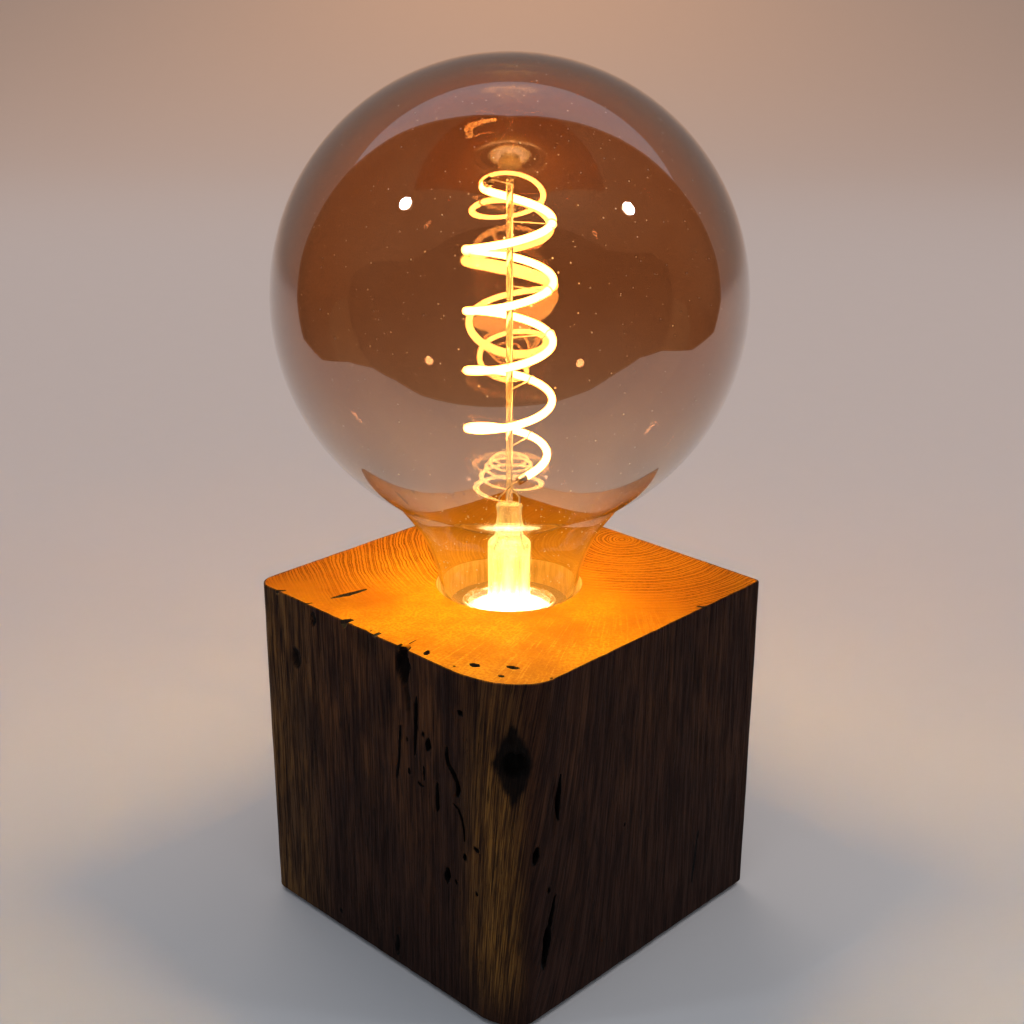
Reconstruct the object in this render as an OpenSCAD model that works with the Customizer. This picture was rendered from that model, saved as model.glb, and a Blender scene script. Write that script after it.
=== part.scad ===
// Table lamp: a cube of old oak with a large bare globe bulb standing in its top.
// Z is up. The origin is on the bulb's axis, in the plane that the foot pads stand on.
// The front face looks along -Y and the right side face along +X.

/* [Block] */
// Width of the block along X
block_w = 100.8; // [94:0.1:120]
// Depth of the block along Y
block_d = 100.4; // [94:0.1:120]
// Height of the block
block_h = 99.2; // [94:0.1:130]
// Length of the waney front corner along the front face
wane_front = 21; // [8:0.5:28]
// Length of the waney front corner along the side face
wane_side = 14; // [8:0.5:22]
// Share of the waney corner's size that is left at the foot of the block
wane_foot = 0.6; // [0.4:0.05:1]
// How far the waney corner wanders in and out over the height
wane_wander = 1.8; // [0:0.1:3]
// Height of one wander of the waney corner
wane_wave = 74; // [50:1:120]
// Rounding of the left front corner
left_corner_r = 5; // [1:0.1:8]
// Rounding of the two back corners
back_corner_r = 1.5; // [0.5:0.1:4]
// Easing of the top and bottom edges
edge_ease = 0.8; // [0.3:0.1:1.5]

/* [Feet] */
// Height of a foot pad
foot_h = 1.5; // [1:0.1:3]
// Radius of a foot pad
foot_r = 6; // [4:0.1:7]
// Distance of a pad's centre from the block's faces
foot_inset = 14; // [12:0.5:16]

/* [Underside] */
// Radius of the wiring recess
recess_r = 24; // [22:0.5:25]
// Height of the wiring recess above the cover
recess_h = 16.5; // [15:0.5:22]
// Radius of the cover
cover_r = 34; // [33:0.5:36]
// Thickness of the cover
cover_t = 2; // [1.6:0.1:3]
// Gap around the cover
cover_gap = 0.3; // [0.1:0.1:0.6]
// Number of cover screws
screw_count = 3; // [3:1:6]
// Radius of a cover screw's shank
screw_r = 1.5; // [1:0.1:1.8]
// Radius of a cover screw's head
screw_head_r = 2.8; // [2.2:0.1:3.5]
// Length of a cover screw
screw_len = 12; // [8:0.5:14]

/* [Cord inlet] */
// Height of the inlet above the block's underside
inlet_h = 10.5; // [10:0.5:12]
// Radius of the bushing's bore
bushing_bore_r = 3.2; // [2.5:0.1:3.6]
// Radius of the bushing's body
bushing_r = 4.6; // [4.2:0.1:5]
// Length of the bushing's body inside the wood
bushing_len = 12; // [8:0.5:16]
// Radius of the bushing's flange
flange_r = 6.6; // [6:0.1:8]
// Thickness of the bushing's flange
flange_t = 1.6; // [1:0.1:2.5]

/* [Threaded tube] */
// Outer radius of the tube that holds the lamp holder down
tube_r = 5; // [4.5:0.1:5.5]
// Radius of the tube's bore
tube_bore_r = 3.9; // [3:0.1:4.1]
// Length of the tube inside the lamp holder
tube_in = 8; // [6:0.5:9]
// Length of the tube past the nut
tube_out = 2; // [0.5:0.5:4]
// Width of the nut across its flats
nut_flats = 14; // [13:0.5:17]
// Height of the nut
nut_h = 4; // [3:0.5:6]
// Radius of the washer
washer_r = 11; // [9:0.5:14]
// Thickness of the washer
washer_t = 1.5; // [1:0.1:2.5]

/* [Lamp holder] */
// Outer radius of the lamp holder
holder_r = 19.3; // [18.5:0.1:20]
// Wall of the lamp holder
holder_wall = 1.8; // [1.4:0.1:2.2]
// Height of the holder's lower cap, with its collar
holder_cap_h = 15.2; // [13.5:0.1:20]
// Height of the collar that the sleeve screws on
collar_thread_h = 4; // [3:0.5:5]
// Height of the insulating core
core_h = 13; // [12:0.5:16]
// Depth of the well in the top of the core
well_h = 7; // [6:0.5:8]
// Radius of the well in the core
well_r = 8.4; // [8:0.1:8.8]
// Thickness of the lip at the sleeve's mouth
lip_t = 2; // [1.5:0.1:3]
// Wall of the screw shell
shell_t = 0.45; // [0.3:0.05:0.6]
// Width of the contact strips
strip_w = 5; // [4:0.5:6]
// Thickness of the contact strips
strip_t = 0.5; // [0.3:0.1:0.8]
// Length, width and height of a terminal block
terminal = [5, 7, 5.6];
// Radius of a terminal screw
terminal_screw_r = 1.4; // [1:0.1:1.6]
// Radius of the locking screw
lock_screw_r = 1.4; // [1:0.1:1.6]

/* [Bulb glass] */
// Radius of the globe
globe_r = 62.5; // [55:0.5:70]
// Wall of the glass
glass_t = 0.9; // [0.6:0.1:1.4]
// Radius of the neck
neck_r = 19.7; // [19:0.1:22]
// Radius of the flare between neck and globe
flare_r = 44; // [20:0.5:60]
// How much narrower than the neck the flare becomes at its narrowest point
flare_draw = 0.6; // [0:0.1:1]
// Height of the flare's narrowest point above the seal
neck_len = 1; // [0.5:0.1:8]
// Depth of the glass's seal below the top of the block
seal_drop = 6.2; // [4:0.1:10]
// Length of the glass collar inside the cap
collar_h = 2; // [1.5:0.1:4]

/* [Bulb cap] */
// Radius of the cap
cap_r = 13.2; // [13:0.05:13.4]
// Sheet thickness of the cap
cap_t = 0.4; // [0.3:0.05:0.5]
// Length of the cap's side
cap_side_h = 19.8; // [18:0.1:22]
// Height of the turned-in bottom of the cap
cap_curl_h = 2.6; // [2:0.1:3]
// Radius of the opening in the bottom of the cap
cap_hole_r = 7.5; // [7:0.1:8]
// Height of the insulator below the cap
insulator_h = 2.7; // [2:0.1:3.5]
// Radius of the centre contact
eyelet_r = 4.7; // [4:0.1:5]
// Height of the centre contact
eyelet_h = 1.5; // [1.2:0.1:2]
// Pitch of the bulb's screw thread
thread_pitch = 3.629; // [3:0.001:4]
// Turns of the thread from seated to free
thread_turns = 5; // [4:1:6]

/* [Stem] */
// Radius of the stem's column
column_r = 5.9; // [5:0.1:6.2]
// Height of the column's shoulder above the seal
column_h = 20.5; // [18:0.5:26]
// Radius of the flare at the stem's foot
trumpet_r = 5.4; // [4:0.1:5.6]
// Width of the pinched top of the stem
press_w = 7.6; // [7:0.1:8.4]
// Thickness of the pinched top of the stem
press_t = 3.8; // [3:0.1:5]
// Height of the pinched top of the stem
press_h = 6.5; // [5:0.5:9]
// Direction of the pinched top, in degrees from +X
press_turn = 44; // [0:1:180]
// Radius of the exhaust tube
exhaust_r = 2; // [1.5:0.1:2.1]
// Radius of the centre post
post_r = 0.9; // [0.7:0.05:1]
// Height of the centre post
post_h = 88.7; // [84:0.1:94]

/* [Filament] */
// Radius of the filament's coil, to the middle of the strand
coil_r = 11.5; // [10:0.1:14]
// Turns of the coil
coil_turns = 4.7; // [4.5:0.1:5]
// Rise of the coil in one turn
coil_pitch = 16.2; // [15:0.1:17]
// Diameter of the strand
strand_d = 2; // [1.6:0.1:2.4]
// Height of the coil's lower end above the stem
coil_lift = 11.3; // [9:0.1:14]
// Direction of the coil's lower end, in degrees from +X
coil_start = -8; // [-20:1:10]
// How far the lower end is drawn in
low_draw = 2; // [0:0.1:3]
// How far the upper end is drawn in
top_draw = 4.7; // [3:0.1:6]
// Radius of the clips on the filament's ends
clip_r = 1.2; // [1:0.1:1.4]
// Length of the clips
clip_len = 2.4; // [1.5:0.1:3]
// Radius of the lead wires
lead_r = 0.25; // [0.15:0.05:0.3]
// Radius of the support wires
support_r = 0.18; // [0.1:0.02:0.24]

/* [Clearances] */
// Gap between the bore in the block and what stands in it
bore_gap = 0.75; // [0.4:0.05:1.5]
// Gap between the screw thread of the cap and its shell
thread_gap = 0.15; // [0.1:0.01:0.25]
// Gap between pieces that are pushed or screwed together
fit_gap = 0.1; // [0.05:0.01:0.15]
// Gap under the bulb's centre contact
contact_gap = 0.2; // [0.1:0.05:0.3]

/* [Hidden] */
$fn = 96;

eps = 0.01;                                   // overrun of a cut past a face

// Heights, from the table up
top_z = foot_h + block_h;
cover_top_z = foot_h + cover_t;
recess_top_z = cover_top_z + recess_h;
inlet_z = foot_h + inlet_h;

// The bulb hangs from the height of its seal
seal_z = top_z - seal_drop;
glass_collar_r = cap_r - cap_t - 0.2;         // cement fills the gap inside the cap
glass_collar_z = seal_z - collar_h;
flare_z = seal_z + neck_len;
flare_x = neck_r - flare_draw + flare_r;      // middle of the flare's round
globe_z = flare_z + sqrt(pow(globe_r + flare_r, 2) - pow(flare_x, 2));
flare_turn = atan2(flare_z - globe_z, flare_x);
shoulder_out = flare_x - glass_collar_r;
shoulder_r = (pow(shoulder_out, 2) + pow(neck_len, 2) - pow(flare_r, 2)) / (2 * (flare_r + neck_len));   // it touches the flare
shoulder_turn = atan2(neck_len - shoulder_r, shoulder_out);
rim_z = seal_z - fit_gap;
curl_z = rim_z - cap_side_h;
cap_base_z = curl_z - cap_curl_h;
insulator_z = cap_base_z - insulator_h;
tip_z = insulator_z - eyelet_h;
cap_floor_z = curl_z + 1.6;                   // inner face of the insulator

// The lamp holder is built up under the bulb's cap
shell_r = cap_r + thread_gap;
shell_floor_z = cap_base_z - 1.3;
core_top_z = shell_floor_z - shell_t;
core_z = core_top_z - core_h;
well_z = core_top_z - well_h;
holder_z = core_z - holder_cap_h;
sleeve_z = core_z - collar_thread_h;
sleeve_top_z = rim_z - 1.6;
shell_top_z = sleeve_top_z - lip_t - fit_gap;
sleeve_in_r = holder_r - holder_wall;
core_r = sleeve_in_r - fit_gap;
holder_floor_t = 3;
terminal_x = 11.5;
contact_end_x = terminal_x + terminal.x / 2;
riser_x = shell_r - strip_t - 0.3;
boss_r = tube_r + 3.5;
lock_z = holder_z + tube_in - 2.5;

// Fastenings in the block
bore_r = max(neck_r, holder_r) + bore_gap;
washer_z = recess_top_z - washer_t;
nut_z = washer_z - nut_h;
tube_z = nut_z - tube_out;
tube_top_z = holder_z + tube_in;
screw_circle_r = (recess_r + cover_r) / 2;

// Inside the bulb
hollow_top_z = seal_z + column_h - 3;
column_top_z = seal_z + column_h;
press_z = column_top_z + 2.4;
press_top_z = press_z + press_h;
post_top_z = press_top_z + post_h;
strand_r = strand_d / 2;
coil_z = press_top_z + coil_lift;
lead_x = press_w / 2 - 1;
lead_rise = 1.6;                              // straight end of a lead at the pinch and at its clip
post_clear = 0.3;                             // between the post and the lead beside it
board = [15, 1, 13];
board_y = 5;
board_top_z = cap_floor_z + board.z;
// Place across the board, height above its foot, size and colour of each part on it
board_parts = [[-5, 6, [5, 2, 4], "black"], [1.5, 3, [3.5, 1.4, 3.5], "black"], [2, 9, [3, 0.8, 1.6], "tan"]];
wire_stub = 0.8;                              // straight end of a wire on what it is soldered to
capacitor_r = 3;
capacitor_h = 9;
capacitor_y = -6;
// Turns up the coil at which a support wire holds it
support_at = [0.31, 1.31, 2.2, 3.06, 3.62, 4.1];

function smooth(u) = let (v = min(max(u, 0), 1)) v * v * (3 - 2 * v);
function polar(r, turn, z) = [r * cos(turn), r * sin(turn), z];
function unit(v) = v / norm(v);
function reverse(list) = [for (i = [len(list) - 1 : -1 : 0]) list[i]];
function arc(x, y, r, from, to, steps) =
    [for (i = [0 : steps]) let (a = from + (to - from) * i / steps) [x + r * cos(a), y + r * sin(a)]];

// Straight round bar from point a to point b
module rod(a, b, r) {
    d = b - a;
    translate(a) rotate([0, acos(d.z / norm(d)), atan2(d.y, d.x)])
        cylinder(h = norm(d), r = r, $fn = 24);
}

// Closed body over a stack of rings of equal count, with triangles between them
module skin(rings) {
    n = len(rings[0]);
    last = len(rings) - 1;
    points = [for (r = rings, p = r) p];
    sides = [for (k = [0 : last - 1], i = [0 : n - 1])
                let (j = (i + 1) % n, a = k * n + i, b = k * n + j, c = a + n, d = b + n)
                each [[a, d, b], [a, c, d]]];
    polyhedron(points, concat([[for (i = [0 : n - 1]) i]], [[for (i = [n - 1 : -1 : 0]) last * n + i]], sides));
}

// Heading of a path at each of its points, halfway between the stretches that meet there
function headings(path) =
    let (steps = [for (i = [1 : len(path) - 1]) unit(path[i] - path[i - 1])], last = len(steps))
    [for (i = [0 : last]) i == 0 ? steps[0] : i == last ? steps[last - 1] : unit(steps[i - 1] + steps[i])];

// Side direction at each point, carried along the path with no twist
function carry_side(ways, side, i = 0) =
    i == len(ways) ? [] :
    let (here = unit(side - (side * ways[i]) * ways[i])) concat([here], carry_side(ways, here, i + 1));

// One unbroken tube along a path
module tube(path, r, sides = 8) {
    ways = headings(path);
    start = abs(ways[0].z) < 0.9 ? [0, 0, 1] : [1, 0, 0];
    across = carry_side(ways, start);
    skin([for (k = [0 : len(path) - 1]) let (up = cross(ways[k], across[k]))
        [for (i = [0 : sides - 1]) let (a = 360 * i / sides)
            path[k] + r * (across[k] * cos(a) + up * sin(a))]]);
}

// Round body on the bulb's axis from one height to another
module disc(r, from, to) { translate([0, 0, from]) cylinder(h = to - from, r = r); }

module ring(outer, inner, from, to) {
    difference() {
        disc(outer, from, to);
        disc(inner, from - 1, to + 1);
    }
}

// ---- wood ----

// Outline of the block at a height above its underside, drawn in by inset
function block_outline(z, inset) =
    let (x = block_w / 2 - inset, y = block_d / 2 - inset,
         wander = wane_wander * sin(360 * z / wane_wave),
         share = wane_foot + (1 - wane_foot) * z / block_h,
         front = (wane_front + wander) * share, side = (wane_side + wander / 2) * share,
         left_r = left_corner_r, back_r = back_corner_r)
    concat([for (i = [0 : 8]) let (a = i * 90 / 8) [x - front + front * sin(a), -y + side - side * cos(a)]],
           arc(x - back_r, y - back_r, back_r, 0, 90, 3),
           arc(-x + back_r, y - back_r, back_r, 90, 180, 3),
           arc(-x + left_r, -y + left_r, left_r, 180, 270, 5));

// Levels at which the outline is drawn: both eased edges and even steps between
function block_levels() =
    concat([[0, edge_ease]],
           [for (i = [0 : 8]) [edge_ease + (block_h - 2 * edge_ease) * i / 8, 0]],
           [[block_h, edge_ease]]);

module block_blank() {
    levels = block_levels();
    rings = [for (level = levels) [for (p = block_outline(level[0], level[1])) [p.x, p.y, level[0]]]];
    skin(rings);
}

module cover_screw_places() {
    for (i = [0 : screw_count - 1])
        rotate([0, 0, 90 + (i + 0.5) * 360 / screw_count]) translate([screw_circle_r, 0, 0]) children();
}

module inlet_bore(r, from, to) {
    translate([0, from, inlet_z]) rotate([-90, 0, 0]) cylinder(h = to - from, r = r);
}

module wood_block() {
    color("sienna") difference() {
        translate([0, 0, foot_h]) block_blank();
        disc(bore_r, holder_z, top_z + 1);
        disc(tube_r + 3 * fit_gap, foot_h, holder_z + 1);
        disc(recess_r, foot_h - 1, recess_top_z);
        disc(cover_r + cover_gap, foot_h - 1, cover_top_z);
        inlet_bore(bushing_r + fit_gap, 0, block_d);
        cover_screw_places() disc(screw_r + fit_gap, foot_h, foot_h + screw_len + 1);
    }
}

module foot_pads() {
    x = block_w / 2 - foot_inset;
    y = block_d / 2 - foot_inset;
    color("dimgray") for (sx = [-1, 1], sy = [-1, 1])
        translate([sx * x, sy * y, 0]) cylinder(h = foot_h, r = foot_r);
}

module base_cover() {
    color("black") difference() {
        disc(cover_r, foot_h, cover_top_z);
        cover_screw_places() {
            disc(screw_r + fit_gap, 0, cover_top_z + 1);
            translate([0, 0, foot_h - eps])
                cylinder(h = screw_head_r - screw_r, r1 = screw_head_r + fit_gap, r2 = screw_r + fit_gap);
        }
    }
}

module cover_screws() {
    head_h = screw_head_r - screw_r;
    color("silver") cover_screw_places() rotate_extrude()
        polygon([[0, foot_h + 0.6], [0.9, foot_h], [screw_head_r, foot_h], [screw_r, foot_h + head_h],
                 [screw_r, foot_h + screw_len - 2], [0, foot_h + screw_len]]);
}

module cable_bushing() {
    face_y = block_d / 2;
    color("black") difference() {
        union() {
            inlet_bore(bushing_r, face_y - bushing_len, face_y + flange_t);
            inlet_bore(flange_r, face_y, face_y + flange_t);
        }
        inlet_bore(bushing_bore_r, face_y - bushing_len - 1, face_y + flange_t + 1);
    }
}

// ---- fastening of the lamp holder ----

module threaded_tube() { color("silver") ring(tube_r, tube_bore_r, tube_z, tube_top_z); }

module tube_nut() {
    color("silver") difference() {
        translate([0, 0, nut_z]) cylinder(h = nut_h, r = nut_flats / sqrt(3), $fn = 6);
        disc(tube_r + fit_gap / 2, nut_z - 1, washer_z + 1);
    }
}

module tube_washer() { color("silver") ring(washer_r, tube_r + 2 * fit_gap, washer_z, recess_top_z); }

// ---- lamp holder ----

module holder_cap() {
    collar_r = sleeve_in_r - fit_gap;
    inside_r = collar_r - holder_wall;
    color("black") difference() {
        union() {
            rotate_extrude() polygon([[0, holder_z], [holder_r - 1.5, holder_z], [holder_r, holder_z + 1.5],
                                      [holder_r, sleeve_z], [collar_r, sleeve_z], [collar_r, core_z],
                                      [inside_r, core_z], [inside_r, holder_z + holder_floor_t],
                                      [0, holder_z + holder_floor_t]]);
            disc(boss_r, holder_z + 1, tube_top_z + 0.5);
        }
        disc(tube_r + fit_gap / 2, holder_z - 1, tube_top_z + 1);
        translate([0, 0, lock_z]) rotate([0, 90, 0]) cylinder(h = holder_r + 1, r = lock_screw_r + fit_gap);
    }
}

module locking_screw() {
    tip_x = tube_r + fit_gap;
    color("silver") translate([0, 0, lock_z]) rotate([0, 90, 0]) difference() {
        translate([0, 0, tip_x]) cylinder(h = boss_r - tip_x, r = lock_screw_r);
        translate([0, 0, boss_r - 1]) cylinder(h = 2, r = lock_screw_r / 2, $fn = 6);
    }
}

module holder_core() {
    slot = [strip_w + 2 * fit_gap, strip_t + fit_gap];
    color("ivory") difference() {
        disc(core_r, core_z, core_top_z);
        disc(well_r, well_z, core_top_z + 1);
        for (side = [-1, 1]) translate([side * terminal_x, 0, core_z - 1])
            linear_extrude(terminal.z + 1 + well_z - core_z - terminal.z)
                square([terminal.x + 2 * fit_gap, terminal.y + 2 * fit_gap], center = true);
        for (side = [-1, 1]) translate([side * terminal_x, 0, core_z + terminal.z / 2])
            rotate([0, 90 * side, 0]) cylinder(h = core_r, r = terminal_screw_r * 1.8);
        translate([-contact_end_x, -slot[0] / 2, well_z]) cube([contact_end_x, slot[0], slot[1]]);
        translate([riser_x - fit_gap, -slot[0] / 2, well_z - 1])
            cube([strip_t + 2 * fit_gap, slot[0], well_h + 2]);
        translate([terminal_x - terminal.x / 2, -slot[0] / 2, well_z - 1])
            cube([riser_x - terminal_x + terminal.x / 2, slot[0], slot[1] + 1]);
    }
}

module centre_contact() {
    top = tip_z - contact_gap;
    foot = well_z + strip_t;
    color("goldenrod") rotate([90, 0, 0]) linear_extrude(strip_w, center = true)
        polygon([[-contact_end_x, well_z], [-4, well_z], [-0.8, top - strip_t], [3.2, top - strip_t],
                 [4.4, top - strip_t - 1], [4.9, top - 1], [3.4, top], [-1, top], [-4.2, foot],
                 [-contact_end_x, foot]]);
}

module side_contact() {
    color("goldenrod") {
        translate([riser_x, -strip_w / 2, well_z]) cube([strip_t, strip_w, well_h]);
        translate([terminal_x - terminal.x / 2, -strip_w / 2, well_z])
            cube([riser_x - terminal_x + terminal.x / 2 + eps, strip_w, strip_t]);
    }
}

module terminal_blocks() {
    color("gold") for (side = [-1, 1]) difference() {
        translate([side * terminal_x - terminal.x / 2, -terminal.y / 2, well_z - terminal.z]) cube(terminal);
        translate([side * terminal_x, 0, core_z + terminal.z / 2]) rotate([0, 90 * side, 0])
            translate([0, 0, -0.5]) cylinder(h = terminal.x, r = terminal_screw_r + fit_gap / 2);
    }
}

module terminal_screws() {
    color("silver") for (side = [-1, 1])
        translate([side * terminal_x, 0, core_z + terminal.z / 2]) rotate([0, 90 * side, 0]) {
            cylinder(h = terminal.x / 2 + eps, r = terminal_screw_r);
            difference() {
                translate([0, 0, terminal.x / 2]) cylinder(h = 1.6, r = terminal_screw_r * 1.6);
                translate([-terminal_screw_r * 2, -0.3, terminal.x / 2 + 0.9])
                    cube([terminal_screw_r * 4, 0.6, 1]);
            }
        }
}

module screw_shell() {
    out_r = shell_r + shell_t;
    color("gold") rotate_extrude() polygon([[well_r, core_top_z], [out_r, core_top_z],
        [out_r, shell_top_z - 1], [out_r + 0.5, shell_top_z], [shell_r + 0.5, shell_top_z],
        [shell_r, shell_top_z - 1], [shell_r, shell_floor_z], [well_r, shell_floor_z]]);
}

module holder_sleeve() {
    mouth_r = shell_r + 0.3;
    color("black") rotate_extrude() polygon([[sleeve_in_r, sleeve_z], [holder_r, sleeve_z],
        [holder_r, sleeve_top_z - 1.2], [holder_r - 1.2, sleeve_top_z], [mouth_r + 0.6, sleeve_top_z],
        [mouth_r, sleeve_top_z - 0.6], [mouth_r, sleeve_top_z - lip_t], [sleeve_in_r, sleeve_top_z - lip_t]]);
}

// ---- bulb ----

// Half outline of the glass from its crown to the foot of its collar, drawn in by inset
function glass_outline(inset) =
    concat(arc(0, globe_z, globe_r - inset, 90, flare_turn, 54),
           arc(flare_x, flare_z, flare_r + inset, 180 + flare_turn, 180 + shoulder_turn, 14),
           arc(glass_collar_r, seal_z + shoulder_r, shoulder_r - inset, shoulder_turn, -90, 8),
           [[glass_collar_r - inset, seal_z + inset], [glass_collar_r - inset, glass_collar_z]]);

module glass_globe() {
    color([0.55, 0.45, 0.42, 0.45]) rotate_extrude()
        polygon(concat(glass_outline(0), reverse(glass_outline(glass_t))));
}

module cap_shell() {
    in_r = cap_r - cap_t;
    color("silver") rotate_extrude() polygon([[in_r, rim_z], [cap_r, rim_z], [cap_r, curl_z],
        [cap_hole_r, cap_base_z], [cap_hole_r, cap_base_z + cap_t * 1.2], [in_r, curl_z + cap_t * 1.2]]);
}

module cap_insulator() {
    in_r = cap_r - cap_t - fit_gap;
    waist_r = cap_hole_r - fit_gap;
    color("black") rotate_extrude() polygon([[lead_r + fit_gap, insulator_z], [eyelet_r + 0.7, insulator_z],
        [waist_r, cap_base_z], [waist_r, cap_base_z + 0.6], [in_r, curl_z + 0.7], [in_r, cap_floor_z],
        [lead_r + fit_gap, cap_floor_z]]);
}

module cap_eyelet() {
    color("silver") rotate_extrude() polygon([[0, tip_z], [2.2, tip_z], [eyelet_r - 0.6, tip_z + 0.6],
        [eyelet_r, tip_z + 1.1], [eyelet_r, insulator_z], [0, insulator_z]]);
}

module driver_board() {
    color("darkgreen") translate([-board.x / 2, board_y, cap_floor_z]) cube(board);
    for (part = board_parts)
        color(part[3]) translate([part[0], board_y + board.y, cap_floor_z + part[1]]) cube(part[2]);
}

module driver_capacitor() {
    top = cap_floor_z + capacitor_h;
    bend_z = top + 1.2;
    color("midnightblue") translate([0, capacitor_y, 0]) disc(capacitor_r, cap_floor_z, top);
    color("silver") for (x = [-1, 1])
        tube([[x, capacitor_y, top - eps], [x, capacitor_y, bend_z], [x, board_y, bend_z]], lead_r);
}

// From the board through the insulator to the centre contact, and out to the cap's side
module cap_wires() {
    wire_z = cap_floor_z + 1.5;
    board_end = [board.x / 2 - 2, board_y + board.y, wire_z];
    cap_turn = 42;
    side_r = cap_r - cap_t - fit_gap;
    color("silver") {
        tube([[0, 0, insulator_z], [0, 0, wire_z], [0, board_y, wire_z]], lead_r);
        tube([board_end, board_end + [0, wire_stub, 0], polar(side_r - wire_stub, cap_turn, wire_z),
              polar(side_r, cap_turn, wire_z)], lead_r);
    }
}

// Half outline of the stem, drawn in by inset, from its foot to the top of the column
function stem_side(inset) =
    concat([[column_r + trumpet_r, glass_collar_z - inset]],
           arc(column_r + trumpet_r, glass_collar_z + trumpet_r, trumpet_r + inset, 270, 180, 8));

module glass_stem() {
    wall = glass_t;
    color([0.9, 0.85, 0.75, 0.6]) difference() {
        union() {
            rotate_extrude() polygon(concat(
                [[glass_collar_r, glass_collar_z - wall], [glass_collar_r, glass_collar_z]], stem_side(0),
                [[column_r, column_top_z], [press_w / 2, press_z], [0, press_z], [0, hollow_top_z],
                 [column_r - wall, hollow_top_z]], reverse(stem_side(wall))));
            rotate([0, 0, press_turn]) intersection() {
                disc(press_w / 2, press_z - eps, press_top_z);
                translate([-press_w / 2, -press_t / 2, press_z - 1]) cube([press_w, press_t, press_h + 2]);
            }
        }
        for (side = [-1, 1]) rotate([0, 0, press_turn]) translate([side * lead_x, 0, 0])
            disc(lead_r + fit_gap, hollow_top_z - 1, press_top_z + 1);
    }
}

module exhaust_tube() {
    color([0.9, 0.85, 0.75, 0.6]) ring(exhaust_r, exhaust_r - 0.7, glass_collar_z - 5, hollow_top_z);
}

module centre_post() { color("wheat") disc(post_r, press_top_z, post_top_z); }

// Point on the filament, where t counts turns from its lower end
function coil_point(t) =
    polar(coil_r - low_draw * (1 - smooth(t / 0.35)) - top_draw * smooth((t - coil_turns + 0.7) / 0.7),
          coil_start + 360 * t, coil_z + coil_pitch * t);
function coil_heading(t) = unit(coil_point(t + 0.002) - coil_point(t - 0.002));
low_end = coil_point(0) - coil_heading(0) * strand_d;
top_end = coil_point(coil_turns) + coil_heading(coil_turns) * strand_d;
low_clip_end = low_end - coil_heading(0) * clip_len;
top_clip_end = top_end + coil_heading(coil_turns) * clip_len;

coil_steps = round(coil_turns * 24);
coil_path = [for (i = [0 : coil_steps]) coil_point(coil_turns * i / coil_steps)];
coil_gap = min([for (i = [0 : coil_steps], j = [i + 12 : 1 : coil_steps]) norm(coil_path[i] - coil_path[j])])
           - strand_d;
echo(str("least gap of the filament to itself: ", coil_gap, " mm"));

module filament_coil() { color("orange") tube(concat([low_end], coil_path, [top_end]), strand_r, 6); }

module filament_clips() {
    color("silver") {
        rod(low_clip_end, low_end, clip_r);
        rod(top_end, top_clip_end, clip_r);
    }
}

// Each lead starts at the board, rises through the stem's pinch and ends on its clip
module lead_wires() {
    low_foot = polar(lead_x, press_turn + 180, 0);
    top_foot = polar(lead_x, press_turn, 0);
    beside_post = polar(post_r + lead_r + post_clear, coil_start - 12, 0);
    low_board_end = [low_foot.x - 2, board_y, board_top_z - 1];
    top_board_end = [top_foot.x, board_y, board_top_z - 1];
    enter_z = glass_collar_z + 2;
    color("silver") {
        tube([low_board_end, low_board_end - [0, wire_stub, 0], low_foot + [0, 0, enter_z],
              low_foot + [0, 0, press_top_z + lead_rise], low_clip_end - coil_heading(0) * lead_rise,
              low_clip_end], lead_r);
        tube([top_board_end, top_board_end - [0, wire_stub, 0], top_foot + [0, 0, enter_z],
              top_foot + [0, 0, press_top_z + lead_rise], beside_post + [0, 0, press_top_z + 3 * lead_rise],
              beside_post + [0, 0, top_clip_end.z - lead_rise],
              top_clip_end + coil_heading(coil_turns) * lead_rise, top_clip_end], lead_r);
    }
}

// Each support is a wire out from the post with an eye round the strand
module support_wires() {
    eye_r = strand_r + support_r + fit_gap;
    color("silver") for (t = support_at) {
        p = coil_point(t);
        heading = coil_heading(t);
        reach = norm([p.x, p.y]) - eye_r;
        rod(polar(post_r, coil_start + 360 * t, p.z), polar(reach, coil_start + 360 * t, p.z), support_r);
        translate(p) rotate([0, acos(heading.z), atan2(heading.y, heading.x)])
            rotate_extrude($fn = 32) translate([eye_r, 0]) circle(r = support_r, $fn = 16);
    }
}

wood_block();
foot_pads();
base_cover();
cover_screws();
cable_bushing();
threaded_tube();
tube_nut();
tube_washer();
holder_cap();
holder_core();
holder_sleeve();
screw_shell();
centre_contact();
side_contact();
terminal_blocks();
terminal_screws();
locking_screw();
glass_globe();
cap_shell();
cap_insulator();
cap_eyelet();
driver_board();
driver_capacitor();
cap_wires();
glass_stem();
exhaust_tube();
centre_post();
filament_coil();
filament_clips();
lead_wires();
support_wires();
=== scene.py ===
# Looks for the bare bulb table lamp: old oak cube, smoked globe bulb, glowing spiral strand.
from math import atan2, ceil, cos, degrees, pi, radians, sin, sqrt

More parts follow.
